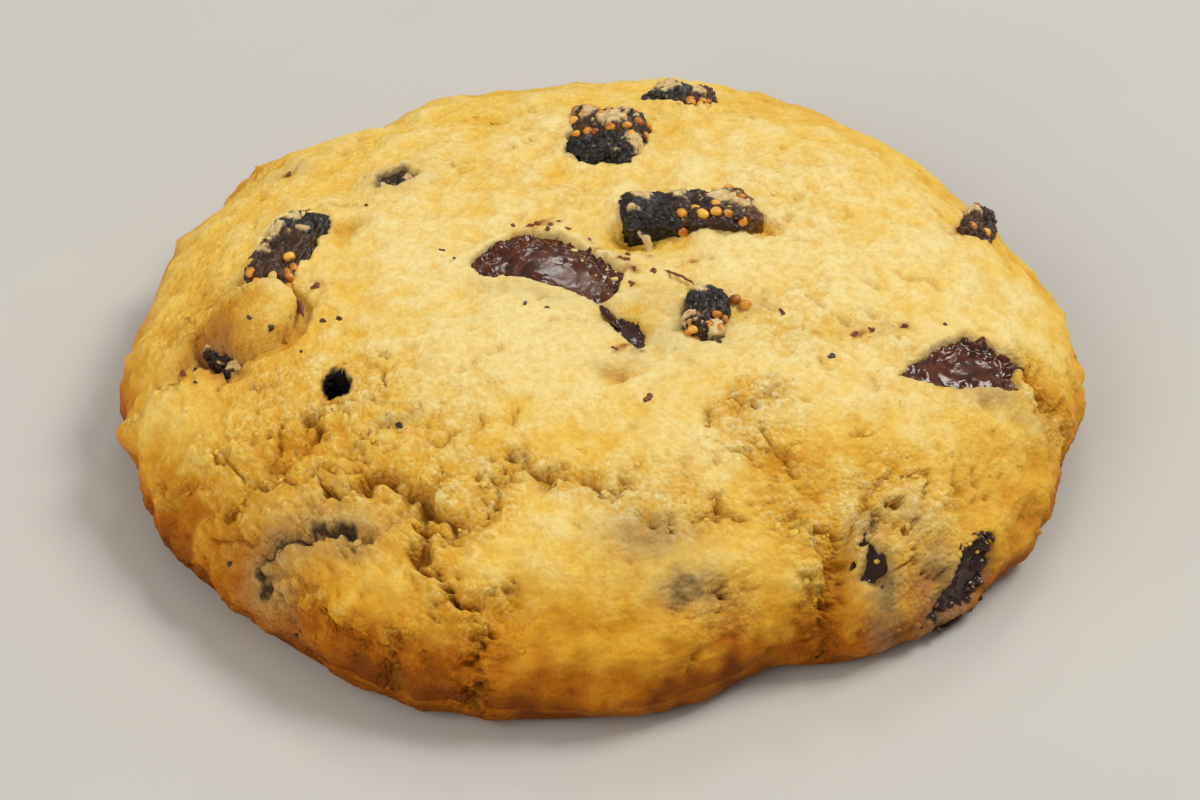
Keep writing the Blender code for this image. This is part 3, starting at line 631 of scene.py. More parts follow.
# Rusty scrapes of fig on the skin, and the browned edge of the big chunk: x, y, half length, half width, turn.
RUST = (
    (-5.9, 6.6, 1.6, 0.7, 20),
    (0.6, 2.2, 2.6, 0.5, -40),
    (2.6, -0.6, 0.7, 1.2, 10),
    (8.6, 1.2, 1.1, 0.5, 0),
    (4.3, 1.9, 0.4, 0.3, 0),
    (-26.7, -1.6, 0.8, 1.4, 10),
    (-35.2, -0.2, 1.4, 0.8, 20),
    (23.8, -8.8, 1.5, 0.6, 15),
    (27.6, -6.9, 0.9, 0.5, 10),
    (-38.4, -10.2, 1.3, 0.6, 10),
    (-30.4, 20.2, 1.0, 0.6, 0),
    (1.6, -12.8, 1.0, 0.4, 30),
    (33.8, 11.0, 0.8, 1.6, -20),
)
rust = np.zeros(len(points))
for x, y, half_length, half_width, turn in RUST:
    rust = np.maximum(rust, np.exp(-(in_ellipse(ragged, x, y, half_length, half_width, turn) ** 2)))
rust *= (points[:, 2] > 6) * np.clip(0.7 + 1.8 * fractal(points + 3, 0.8, 2), 0, 0.95)
# The knob stood nearest to the heat and browned.
rust = np.maximum(rust, 0.24 * np.exp(-(in_ellipse(ragged, -34.0, -6.0, 3.8, 3.4, 0) ** 2)) * (points[:, 2] > 10))

points += CENTRED
limit = cad_box / MM
points = np.clip(points, limit[0] + 0.01, limit[1] - 0.01)
points[:, 2] = np.maximum(points[:, 2], 0)
set_points(dough, points * MM)
brown_and_shade = np.clip(brown_and_shade, 0, 1)
coarse = smoothstep(0.1, 0.75, broken)
# The inside of the air hole is painted near-black as its shadow.
hole_shadow = smoothstep(1.42, 1.16, hole) * above_hole
for name, values in (
    ("brown_and_shade", brown_and_shade), ("crevice_shade", crevice_shade), ("high", high), ("stain", stain), ("rust", rust), ("coarse", coarse),
    ("hole", hole_shadow),
):
    paint(dough, name, values)
dough.data.shade_smooth()


def linear(code):
    """An sRGB hex colour as the linear colour that a shader takes."""
    channels = [int(code[i : i + 2], 16) / 255 for i in (1, 3, 5)]
    return (*(c / 12.92 if c <= 0.04045 else ((c + 0.055) / 1.055) ** 2.4 for c in channels), 1.0)


def add_node(tree, kind, links=None, **settings):
    """Adds a node, with settings by attribute or by input name, and links into its inputs."""
    node = tree.nodes.new(kind)
    for key, value in settings.items():
        if hasattr(node, key):
            setattr(node, key, value)
        else:
            node.inputs[key.replace("_", " ")].default_value = value
    for key, source in (links or {}).items():
        tree.links.new(source, node.inputs[key])
    return node


def new_material(name):
    made = bpy.data.materials.new(name)
    made.use_nodes = True
    return made, made.node_tree, made.node_tree.nodes["Principled BSDF"]


def ramp(tree, factor, stops):
    """A colour ramp with hex colours or grey levels at the positions given."""
    node = tree.nodes.new("ShaderNodeValToRGB")
    band = node.color_ramp
    while len(band.elements) < len(stops):
        band.elements.new(0.5)
    for element, (position, colour) in zip(band.elements, stops):
        element.position = position
        element.color = linear(colour) if isinstance(colour, str) else (colour, colour, colour, 1)
    tree.links.new(factor, node.inputs["Fac"])
    return node.outputs["Color"]


def scaled(tree, factor, amount):
    """A number output times a fixed amount."""
    node = add_node(tree, "ShaderNodeMath", {0: factor}, operation="MULTIPLY")
    node.inputs[1].default_value = amount
    return node.outputs[0]


def blend(tree, kind, factor, below, above):
    """Mixes two colours; each may be a hex colour or an output, and the factor a number or an output."""
    node = tree.nodes.new("ShaderNodeMix")
    node.data_type = "RGBA"
    node.blend_type = kind
    for socket, value in ((node.inputs[0], factor), (node.inputs[6], below), (node.inputs[7], above)):
        if isinstance(value, bpy.types.NodeSocket):
            tree.links.new(value, socket)
        else:
            socket.default_value = linear(value) if isinstance(value, str) else value
    return node.outputs[2]


# Baked dough: matt, a little greasy, pale yellow where it stayed soft and golden brown at the foot, with painted
# shade in the low browned sides. Each crumb top of the pale dough carries a painted highlight, and the low places
# between crumbs a painted golden shade. Light goes a little way into it. Its blotches are about 2.4 mm across (a
# scale of 420 to the metre), its crumbs and sugar grains about 0.5 mm, drawn as coarse as they need to show.
baked, tree, shader = new_material("baked_butter_dough")
place = add_node(tree, "ShaderNodeTexCoord").outputs["Object"]
browning_and_shade, painted_crevice_shade, standing, stained, rusty, coarse, painted_hole_shadow = (
    add_node(tree, "ShaderNodeAttribute", attribute_name=name).outputs["Fac"]
    for name in ("brown_and_shade", "crevice_shade", "high", "stain", "rust", "coarse", "hole")
)
mottle = add_node(tree, "ShaderNodeTexNoise", {"Vector": place}, Scale=420.0, Detail=4.0, Roughness=0.6)
crumbs = add_node(tree, "ShaderNodeTexNoise", {"Vector": place}, Scale=1900.0, Detail=4.0, Roughness=0.7)
specks = add_node(tree, "ShaderNodeTexVoronoi", {"Vector": place}, Scale=2200.0)
granule = add_node(tree, "ShaderNodeSeparateColor", {"Color": specks.outputs["Color"]}).outputs["Red"]
# The crust tones follow the browning, painted shade included.
crust_tones = ((0.0, "#f4e09a"), (0.25, "#f0cb5d"), (0.5, "#e1aa2e"), (0.75, "#b96f08"), (1.0, "#7c3f01"))
base = ramp(tree, browning_and_shade, crust_tones)
golden = blend(tree, "MULTIPLY", 1.0, base, "#edd088")
# Painted shade between crumbs: where the crust lies low it is mixed towards golden. Painted highlight: the crumb tops
# of the pale dough are mixed towards cream.
painted_shade_between_crumbs = ramp(tree, standing, ((0.1, 1.0), (0.5, 0.0)))
base = blend(tree, "MIX", scaled(tree, painted_shade_between_crumbs, 0.65), base, golden)
pale = ramp(tree, browning_and_shade, ((0.0, 1.0), (0.3, 0.3), (0.7, 0.0)))
painted_crumb_highlight = blend(tree, "MULTIPLY", 1.0, ramp(tree, standing, ((0.5, 0.0), (0.95, 1.0))), pale)
base = blend(tree, "MIX", scaled(tree, painted_crumb_highlight, 0.35), base, "#f9ecb8")
lighter = blend(tree, "MULTIPLY", 1.0, ramp(tree, mottle.outputs["Fac"], ((0.45, 0.0), (0.68, 1.0))), pale)
base = blend(tree, "MIX", scaled(tree, lighter, 0.22), base, "#fbeebe")
darker = ramp(tree, crumbs.outputs["Fac"], ((0.36, 1.0), (0.50, 0.0)))
base = blend(tree, "MIX", scaled(tree, darker, 0.35), base, golden)
base = blend(tree, "MIX", scaled(tree, ramp(tree, granule, ((0.45, 0.0), (1.0, 1.0))), 0.22), base, golden)
low_grain = blend(tree, "MULTIPLY", 1.0, ramp(tree, granule, ((0.30, 0.0), (0.6, 1.0))), coarse)
base = blend(tree, "MIX", scaled(tree, low_grain, 0.34), base, golden)
pale_grain = blend(tree, "MULTIPLY", 1.0, ramp(tree, granule, ((0.08, 1.0), (0.26, 0.0))), coarse)
pale_grain = blend(tree, "MULTIPLY", 1.0, pale_grain, pale)
base = blend(tree, "MIX", scaled(tree, pale_grain, 0.45), base, "#fbefc0")
# Painted shade: splits, pits and the groove round the knob are mixed towards dark golden brown.
base = blend(tree, "MIX", scaled(tree, painted_crevice_shade, 0.70), base, "#a86e1c")
halo = ramp(tree, stained, ((0.0, 0.0), (0.5, 0.55)))
base = blend(tree, "MIX", halo, base, "#a38a66")
core = ramp(tree, stained, ((0.5, 0.0), (0.95, 0.95)))
base = blend(tree, "MIX", core, base, "#3d2d22")
base = blend(tree, "MIX", rusty, base, "#9a4c14")
# Painted shadow: the inside of the air hole is near-black.
base = blend(tree, "MIX", painted_hole_shadow, base, "#080402")
tree.links.new(base, shader.inputs["Base Color"])
gloss = ramp(tree, crumbs.outputs["Fac"], ((0.35, 0.42), (0.6, 0.70)))
tree.links.new(gloss, shader.inputs["Roughness"])
shader.inputs["IOR"].default_value = 1.4
shader.inputs["Specular IOR Level"].default_value = 0.18
shader.inputs["Subsurface Weight"].default_value = 0.15
shader.inputs["Subsurface Radius"].default_value = (0.8, 0.65, 0.35)
shader.inputs["Subsurface Scale"].default_value = 0.0008
fine = add_node(tree, "ShaderNodeBump", {"Height": crumbs.outputs["Fac"]}, Strength=0.55, Distance=0.00025)
rough_share = add_node(tree, "ShaderNodeMapRange", {"Value": coarse}, To_Min=0.45, To_Max=1.3).outputs["Result"]
bumpy = add_node(
    tree, "ShaderNodeMath", {0: specks.outputs["Distance"], 1: rough_share}, operation="MULTIPLY"
)
grainy = add_node(
    tree, "ShaderNodeBump", {"Height": bumpy.outputs[0], "Normal": fine.outputs["Normal"]},
    Strength=0.8, Distance=0.00025, invert=True,
)
tree.links.new(grainy.outputs["Normal"], shader.inputs["Normal"])
dough.data.materials.clear()
dough.data.materials.append(baked)
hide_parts("cookie_dough")
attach(dough, "root")


# Chocolate: hand-chopped chunks of a dark couverture that melted in the oven and set again. The open face is glossy
# and smooth in the middle, and wrinkled and bubbly towards the rim, where the dough drew it thin.
CHOCOLATE_DEPTH = {
    "chocolate_centre": 4.5,
    "chocolate_chip": 2.5,
    "chocolate_right": 4.0,
    "chocolate_rim": 3.5,
    "chocolate_slit": 3.0,
}
CHUNK_CUTS = (3, 11)
CAP_HEIGHT = 0.9  # the rounding of an open face, which then sinks by as much
SQUARENESS = 4  # 2 is a ball, and more is a slab with rounded edges
TUCK = 0.5  # how far a chunk goes in under the dough's lip
SUNK = 0.2  # how far its face lies under the dough's skin
WRINKLE_SPACING = 1.3
WRINKLE_HEIGHT = 0.42
BUBBLE_SPACING = 1.15
SWAY_SPACING = 4.0
SWAY_HEIGHT = 0.45
SAG = 0.35  # how far the middle of a face has sunk as it set

# Melted dark chocolate: a near-black brown, so glossy that it mirrors the window, painted deeper brown as shade in
# the folds and on the pieces that lie in shaded hollows, and dull and greyish where a thin film of flour and fat
# dried on it.
# Its patches are about 1.7 mm across.
glossy, tree, shader = new_material("melted_dark_chocolate")
place = add_node(tree, "ShaderNodeTexCoord").outputs["Object"]
film, fold_shade = (
    add_node(tree, "ShaderNodeAttribute", attribute_name=name).outputs["Fac"] for name in ("film", "fold_shade")
)
patchy = add_node(tree, "ShaderNodeTexNoise", {"Vector": place}, Scale=600.0, Detail=3.0, Roughness=0.6)
base = ramp(tree, patchy.outputs["Fac"], ((0.3, "#3c1404"), (0.7, "#642a0a")))
# Painted shade: darker brown in the hollows of the creases and on the pieces in shaded hollows.
base = blend(tree, "MIX", fold_shade, base, "#240c04")
base = blend(tree, "MIX", film, base, "#80604e")
tree.links.new(base, shader.inputs["Base Color"])
dull = ramp(tree, patchy.outputs["Fac"], ((0.35, 0.10), (0.7, 0.24)))
dull = blend(tree, "MIX", film, dull, (0.62, 0.62, 0.62, 1))
tree.links.new(dull, shader.inputs["Roughness"])
shader.inputs["IOR"].default_value = 1.5
shader.inputs["Specular IOR Level"].default_value = 0.5
bump = add_node(tree, "ShaderNodeBump", {"Height": patchy.outputs["Fac"]}, Strength=0.4, Distance=0.0002)
tree.links.new(bump.outputs["Normal"], shader.inputs["Normal"])

melted = {}
for number, (name, outline) in enumerate(CHOCOLATE.items()):
    chunk, sphere = fine_sphere(name + "_melt", CHUNK_CUTS)
    middle, axes = skin_frame(outline)
    flat = (np.array(outline, float) - middle) @ axes.T
    corner_angle = np.arctan2(flat[:, 1], flat[:, 0])
    order = np.argsort(corner_angle)
    reach = np.hypot(flat[:, 0], flat[:, 1])[order] + TUCK
    angle = np.arctan2(sphere[:, 1], sphere[:, 0])
    rim = np.interp(angle, corner_angle[order], reach, period=2 * math.pi)
    tilt = np.arccos(np.clip(np.abs(sphere[:, 2]), 0, 1))
    share = np.sin(tilt) ** (2 / SQUARENESS)
    depth = np.where(sphere[:, 2] > 0, CAP_HEIGHT, CHOCOLATE_DEPTH[name])
    height = np.sign(sphere[:, 2]) * depth * np.cos(tilt) ** (2 / SQUARENESS) - CAP_HEIGHT - SUNK
    local = np.stack([rim * share * np.cos(angle), rim * share * np.sin(angle), height], axis=1)
    top = smoothstep(-0.2, 0.3, sphere[:, 2])
    edge = smoothstep(0.35, 0.95, share)
    creases = billows(local + 40 * number, WRINKLE_SPACING, 3)
    bubbles = grains(local + 40 * number, BUBBLE_SPACING) - 0.5
    rise = SWAY_HEIGHT * fractal(local + 40 * number + 5, SWAY_SPACING, 1)
    rise += WRINKLE_HEIGHT * (0.3 + 1.2 * edge) * creases
    if name == "chocolate_right":
        rise += 0.5 * bubbles * smoothstep(-0.6, 1.0, local[:, 1]) + 0.25 * creases
    elif name == "chocolate_centre":
        rise += 0.34 * bubbles * edge
        crumpled = np.exp(-(in_ellipse(local, -1.0, 1.2, 5.0, 1.2, -22) ** 2))
        rise += 0.75 * billows(local + 80, 1.5, 2) * crumpled
    elif name == "chocolate_rim":
        rise += 0.8 * bubbles + 0.3 * creases
    rise += 0.22 * billows(local + 60 * number, 2.6, 1) - SAG * (1 - share**2)
    local[:, 2] += rise * top
    film = np.zeros(len(local))
    if name == "chocolate_centre":
        film = 0.55 * np.exp(-(in_ellipse(local, 3.4, -1.6, 3.2, 1.6, -40) ** 2))
        film *= np.clip(0.6 + 1.4 * fractal(local + 9, 0.7, 2), 0, 1)
    set_points(chunk, (middle + local @ axes + CENTRED) * MM)
    paint(chunk, "film", film)
    # The chip, the rim chunk and the one in the slit lie in shaded hollows, so they are painted darker all over as
    # shade.
    in_shade = 0.75 if name in ("chocolate_rim", "chocolate_slit", "chocolate_chip") else 0.0
    paint(chunk, "fold_shade", np.maximum(smoothstep(-0.02, -0.30, creases), in_shade))
    chunk.data.shade_smooth()
    open_face = (top > 0.9) & (share < 0.92) & ((name != "chocolate_centre") | (local[:, 0] > 2.0))
    melted[name] = (get_points(chunk) / MM)[open_face], get_normals(chunk)[open_face]
    chunk.data.materials.clear()
    chunk.data.materials.append(glossy)
    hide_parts(name)
    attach(chunk, "root")


# Dried fig: whole dried figs chopped with a knife. The skin is blue-black, leathery and finely wrinkled with a pale
# bloom on the folds; the cut faces are brown, sticky flesh full of round seeds, and smears of dough stick to both.
FIG_CHOP = 0.15  # how far each corner is off, as a share of the piece's size
FIG_EDGE_CREASE = 0.36
FIG_SUBDIVISIONS = 6
FIG_WRINKLE_SPACING = 2.4
FIG_WRINKLE_HEIGHT = 0.5
FOLD_SPACING = 0.9
FOLD_HEIGHT = 0.27
# Where the cut, seedy flesh shows on each piece, along its long axis from -0.5 to 0.5, and how brown it is.
FLESH = {
    "fig_centre": (-0.12, 0.60, 0.1),
    "fig_block": (-0.60, -0.12, 0.1),
    "fig_back": (-0.05, 0.60, 0.25),
    "fig_back_rim": (0.05, 0.60, 0.4),
    "fig_left": (-0.60, 0.16, 0.22),
    "fig_right_rim": (-0.6, 0.60, 0.3),
    "fig_back_left": (-0.6, 0.6, 0.1),
    "fig_under_knob": (-0.6, 0.6, 0.1),
}
SEEDS = {
    "fig_centre": 19,
    "fig_block": 16,
    "fig_back": 26,
    "fig_back_rim": 6,
    "fig_left": 12,
    "fig_right_rim": 8,
}
SEED_RADII = (0.42, 0.56)
SEED_GAP = 0.78  # the least distance between the middles of two seeds
SEED_SEAT = (-0.34, -0.10)  # how high the middle of a seed lies over the flesh
SEED_TRIES = 1500
# Smears of dough on each piece: x, y, radius.
SMEARS = {
    "fig_centre": ((3.6, 9.8, 1.0), (2.6, 7.6, 0.6), (11.2, 9.8, 1.5), (13.0, 8.6, 1.0), (7.0, 10.6, 1.0)),
    "fig_block": ((7.6, -9.6, 1.0), (10.4, -10.9, 1.2), (8.6, -5.6, 1.0)),
    "fig_back": ((0.8, 23.8, 1.8), (3.2, 19.2, 1.3), (-1.6, 25.4, 1.0)),
    "fig_back_rim": ((6.0, 32.6, 1.6), (9.4, 31.6, 0.8)),
    "fig_left": ((-31.0, 8.0, 1.3), (-29.4, 10.4, 1.0), (-32.2, 4.4, 1.0), (-28.2, 7.6, 0.7)),
    "fig_right_rim": ((35.2, 14.8, 0.9),),
    "fig_back_left": ((-21.2, 15.0, 1.0), (-18.4, 16.4, 0.7)),
    "fig_under_knob": ((-36.4, -6.0, 0.9), (-33.9, -9.4, 0.9)),
}

# Fig skin and flesh: near-black and waxy with fibres of about 0.7 mm and a grey bloom on the folds, dark brown and
# sticky on the cut faces, and dull cream where dough is smeared on.
leathery, tree, shader = new_material("dried_fig_skin_and_flesh")
place = add_node(tree, "ShaderNodeTexCoord").outputs["Object"]
flesh, tone, crest, smeared = (
    add_node(tree, "ShaderNodeAttribute", attribute_name=name).outputs["Fac"]
    for name in ("flesh", "tone", "crest", "smear")
)
fibre = add_node(tree, "ShaderNodeTexNoise", {"Vector": place}, Scale=1400.0, Detail=4.0, Roughness=0.65)
patchy = add_node(tree, "ShaderNodeTexNoise", {"Vector": place}, Scale=450.0, Detail=2.0)
dark = ramp(tree, patchy.outputs["Fac"], ((0.35, "#0b0807"), (0.7, "#1d1512")))
bloom = add_node(tree, "ShaderNodeMath", {0: crest, 1: fibre.outputs["Fac"]}, operation="MULTIPLY")
dark = blend(tree, "MIX", scaled(tree, bloom.outputs[0], 0.5), dark, "#75685a")
dark_flesh = ramp(tree, patchy.outputs["Fac"], ((0.35, "#140804"), (0.7, "#351607")))
pale_flesh = ramp(tree, patchy.outputs["Fac"], ((0.3, "#43200a"), (0.55, "#74461a"), (0.75, "#96662c")))
fleshy = blend(tree, "MIX", tone, dark_flesh, pale_flesh)
base = blend(tree, "MIX", flesh, dark, fleshy)
pasty = ramp(tree, fibre.outputs["Fac"], ((0.35, "#b98f50"), (0.6, "#e6cf98")))
base = blend(tree, "MIX", smeared, base, pasty)
tree.links.new(base, shader.inputs["Base Color"])
dull = ramp(tree, fibre.outputs["Fac"], ((0.3, 0.20), (0.7, 0.60)))
tree.links.new(dull, shader.inputs["Roughness"])
shader.inputs["IOR"].default_value = 1.45
bump = add_node(tree, "ShaderNodeBump", {"Height": fibre.outputs["Fac"]}, Strength=0.6, Distance=0.0002)
tree.links.new(bump.outputs["Normal"], shader.inputs["Normal"])

# Fig seeds: smooth amber husks, a little shiny, that light goes into, so they glow orange beside the dark flesh.
seed_skin, tree, shader = new_material("fig_seed_husk")
place = add_node(tree, "ShaderNodeTexCoord").outputs["Object"]
patchy = add_node(tree, "ShaderNodeTexNoise", {"Vector": place}, Scale=450.0, Detail=2.0)
base = ramp(tree, patchy.outputs["Fac"], ((0.36, "#a0540a"), (0.5, "#d98a1c"), (0.64, "#f2b94c")))
tree.links.new(base, shader.inputs["Base Color"])
shader.inputs["Roughness"].default_value = 0.34
shader.inputs["Subsurface Weight"].default_value = 0.15
shader.inputs["Subsurface Radius"].default_value = (1.0, 0.5, 0.15)
shader.inputs["Subsurface Scale"].default_value = 0.0006


def joined(name, template, faces, places):
    """One mesh of many copies of a small template, each turned, scaled and placed by its own 4 x 4 matrix."""
    corners = np.concatenate([template, np.ones((len(template), 1))], axis=1)
    copies = np.einsum("nij,kj->nki", np.array(places), corners)[:, :, :3].reshape(-1, 3)
    first = np.arange(len(places))[:, None, None] * len(template)
    shifted = (first + np.array(faces)[None]).reshape(-1, len(faces[0]))
    mesh = bpy.data.meshes.new(name)
    mesh.from_pydata(copies * MM, [], shifted.tolist())
    obj = bpy.data.objects.new(name, mesh)
    bpy.context.scene.collection.objects.link(obj)
    mesh.shade_smooth()
    return obj


def standing_on(out):
    """The turn that stands a small piece upright on a surface, from the way out of it."""
    return Vector(out).to_track_quat("Z", "Y").to_matrix().to_4x4()


def small_ball(subdivisions):
    """The points and faces of a ball one millimetre in radius."""
    bpy.ops.object.select_all(action="DESELECT")
    bpy.ops.mesh.primitive_ico_sphere_add(subdivisions=subdivisions, radius=1)
    ball = bpy.context.object
    template = get_points(ball)
    faces = [tuple(polygon.vertices) for polygon in ball.data.polygons]
    bpy.data.objects.remove(ball)
    return template, faces


seed_places = []
for number, name in enumerate(FIG, start=1):
    centre, size, turned = fig_frame(name)
    draw = random.Random(number)
    bpy.ops.object.select_all(action="DESELECT")
    bpy.ops.mesh.primitive_cube_add(size=1)
    fig = bpy.context.object
    fig.name = fig.data.name = name + "_chopped"
    for vertex in fig.data.vertices:
        vertex.co += Vector(draw.uniform(-FIG_CHOP, FIG_CHOP) for _ in range(3))
    set_points(fig, get_points(fig) * size)
    crease = fig.data.attributes.new("crease_edge", "FLOAT", "EDGE")
    for entry in crease.data:
        entry.value = FIG_EDGE_CREASE
    rounder = fig.modifiers.new("soft_edges", "SUBSURF")
    rounder.levels = rounder.render_levels = FIG_SUBDIVISIONS
    bpy.ops.object.modifier_apply(modifier=rounder.name)
    local = get_points(fig)
    out = get_normals(fig)
    start = draw.uniform(0, 50)
    wrinkles = fractal(local + [start * FIG_WRINKLE_SPACING, 0, 0], FIG_WRINKLE_SPACING, 2)
    local += out * (FIG_WRINKLE_HEIGHT * wrinkles)[:, None]
    long_axis = 0 if size[0] >= size[1] else 1
    along = local[:, long_axis] / size[long_axis]
    low, high_end, tone = FLESH[name]
    wavy = along + 0.10 * fractal(local + 70, 1.5, 2)
    flesh = smoothstep(low - 0.03, low + 0.03, wavy) * smoothstep(high_end + 0.06, high_end, wavy)
    folds = 1 - np.abs(fractal(local + 30, FOLD_SPACING, 3)) * 2.2
    world = local @ turned.T + centre
    world_out = out @ turned.T
    smear = np.zeros(len(local))
    for x, y, radius in SMEARS[name]:
        away = np.hypot(world[:, 0] - x, world[:, 1] - y) / radius
        smear = np.maximum(smear, np.exp(-(away**2)))
    smear = smoothstep(0.40, 0.62, smear + 0.6 * fractal(world + 11, 0.7, 3)) * smoothstep(0.0, 0.4, world_out[:, 2])
    pulp = 0.22 * (grains(local + 20, 1.0) - 0.5) * flesh
    local += out * ((FOLD_HEIGHT * (folds - 0.9) + pulp) * (1 - smear) + 0.10 * smear)[:, None]
    at = local @ turned.T + centre + CENTRED
    at[:, :2] = np.clip(at[:, :2], limit[0, :2] + 0.05, limit[1, :2] - 0.05)
    at[:, 2] = np.minimum(at[:, 2], limit[1, 2] - 0.05)
    set_points(fig, at * MM)
    paint(fig, "flesh", flesh)
    paint(fig, "tone", np.clip(tone + smoothstep(0.36, 0.44, along) * (name == "fig_centre"), 0, 1))
    paint(fig, "crest", smoothstep(0.82, 1.0, folds))
    paint(fig, "smear", smear)
    fig.data.shade_smooth()
    fig.data.materials.clear()
    fig.data.materials.append(leathery)
    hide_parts(name)
    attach(fig, "root")

    seedy = fractal(local + 50, 2.6, 1) > -0.12
    facing = world_out @ [0, -0.35, 0.9] > 0.2
    if name == "fig_centre":
        seedy &= along < 0.40
    open_to_air = np.flatnonzero(facing & seedy & (flesh > 0.6) & (smear < 0.8))
    chosen = []
    for _ in range(SEED_TRIES):
        if not len(open_to_air) or len(chosen) >= SEEDS.get(name, 0):
            break
        spot = open_to_air[draw.randrange(len(open_to_air))]
        if all(np.linalg.norm(local[spot] - local[other]) > SEED_GAP for other in chosen):
            chosen.append(spot)
    for spot in chosen:
        spin = Matrix.Rotation(draw.uniform(0, 2 * math.pi), 4, "Z")
        size_now = draw.uniform(*SEED_RADII)
        egg = Matrix.Diagonal((1.15 * size_now, size_now, 0.9 * size_now, 1))
        seat = Vector(at[spot] + world_out[spot] * draw.uniform(*SEED_SEAT))
        seat.z = min(seat.z, limit[1, 2] - 0.6)
        seed_places.append(Matrix.Translation(seat) @ standing_on(world_out[spot]) @ spin @ egg)

final = get_points(dough) / MM
final_out = get_normals(dough)
above = final[:, 2] > 3


def on_dough(x, y):
    """The place on the dough's upper skin nearest to a point of the plan, and the way out there."""
    gone = np.hypot(final[:, 0] - CENTRED[0] - x, final[:, 1] - CENTRED[1] - y) + 99 * ~above
    spot = np.argmin(gone)
    return final[spot], final_out[spot]


# Two seeds fell out beside the block.
for x, y in ((12.9, -6.2), (12.1, -5.2)):
    seat, out = on_dough(x, y)
    seed_places.append(Matrix.Translation(Vector(seat + out * 0.2)) @ Matrix.Diagonal((0.6, 0.5, 0.5, 1)))

template, faces = small_ball(3)
seeds = joined("fig_seeds", template, faces, seed_places)
bits = get_points(seeds) / MM
bits += get_normals(seeds) * (0.07 * fractal(bits, 0.6, 2))[:, None]
set_points(seeds, bits * MM)
seeds.data.materials.append(seed_skin)
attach(seeds, "root")


# Specks and shreds: splinters of chocolate and fig skin that were stirred through the dough and stuck to its skin.
# Near-black, red-brown or dull brown, and flat.
# x, y, half length, half width, turn in degrees, tone from black at 0 to red-brown at 1.
SPECKS = (
    (-7.1, -6.3, 0.45, 0.35, 20, 0.0),
    (-5.3, -7.1, 0.55, 0.30, -30, 0.1),
    (-15.0, 3.0, 0.60, 0.40, 40, 0.1),
    (-22.5, 11.4, 0.45, 0.35, 0, 0.0),
    (-37.5, -10.3, 0.50, 0.35, 70, 0.0),
    (-37.2, -11.7, 0.45, 0.30, 20, 0.1),
    (-33.3, -30.2, 0.50, 0.40, 0, 0.0),
    (-18.2, -21.7, 0.75, 0.55, 0, 0.0),
    (-32.5, -7.6, 0.50, 0.40, 0, 0.2),
    (-30.4, -8.6, 0.80, 0.50, 30, 0.1),
    (-27.6, -10.2, 0.45, 0.35, 0, 0.0),
    (-24.2, -6.5, 0.40, 0.30, 0, 0.3),
    (-13.8, 1.0, 0.35, 0.25, 0, 0.6),
    (-6.9, 6.6, 0.9, 0.35, 30, 0.9),
    (-5.2, 6.0, 0.5, 0.35, -20, 0.8),
    (23.1, -9.1, 0.85, 0.45, 15, 1.0),
    (24.5, -8.4, 0.60, 0.45, -20, 0.9),
    (31.6, -5.3, 0.40, 0.30, 0, 0.6),
    (27.5, -6.8, 0.75, 0.40, 10, 0.4),
    (20.7, -12.9, 0.85, 0.60, -30, 0.2),
    (1.0, -13.0, 0.60, 0.40, 30, 0.8),
    (4.6, -0.8, 0.90, 0.40, 25, 0.7),
    (-26.7, -1.2, 0.65, 1.10, 10, 0.9),
    (-38.4, -10.4, 0.90, 0.50, 10, 0.8),
    (4.1, -19.1, 1.30, 0.60, 0, 0.7),
    (16.3, -6.7, 0.80, 0.30, -20, 0.5),
    (10.4, -11.9, 0.60, 0.35, 0, 0.2),
    (-25.8, -6.5, 0.50, 0.35, 0, 0.5),
    (-30.4, 20.2, 0.70, 0.45, 0, 0.8),
    (24.3, -35.8, 0.50, 0.40, 0, 0.1),
    (-27.6, -38.0, 0.60, 0.45, 40, 0.0),
    (-6.0, 7.2, 0.55, 0.50, 0, 1.0),
    (-5.0, 6.7, 0.50, 0.40, 60, 1.0),
    (-4.3, 7.3, 0.40, 0.35, 0, 1.0),
    (-8.6, 6.4, 0.45, 0.35, 20, 0.9),
    (-3.2, 6.0, 0.50, 0.40, 30, 1.0),
    (-1.4, 4.4, 0.50, 0.40, -30, 0.9),
    (1.6, 1.4, 0.55, 0.45, 0, 1.0),
    (2.4, 0.6, 0.60, 0.45, 50, 1.0),
    (2.9, -0.6, 0.50, 0.40, 20, 1.0),
    (2.2, 2.3, 0.40, 0.35, 0, 0.9),
    (2.7, -2.6, 0.55, 0.40, -40, 0.9),
)
SPECK_HALF_THICKNESS = 0.18
template, faces = small_ball(3)
speck_places = []
for x, y, half_length, half_width, turn, tone in SPECKS:
    seat, out = on_dough(x, y)
    heading = Matrix.Rotation(math.radians(turn), 4, "Z")
    flat = Matrix.Diagonal((0.55 * half_length, 0.5 * half_width, SPECK_HALF_THICKNESS, 1))
    speck_places.append(Matrix.Translation(Vector(seat)) @ standing_on(out) @ (heading @ flat))
shreds = joined("stuck_specks", template, faces, speck_places)
bits = get_points(shreds) / MM
bits += get_normals(shreds) * (0.22 * fractal(bits, 0.55, 2))[:, None]
set_points(shreds, bits * MM)
paint(shreds, "tone", np.repeat([speck[5] for speck in SPECKS], len(template)))

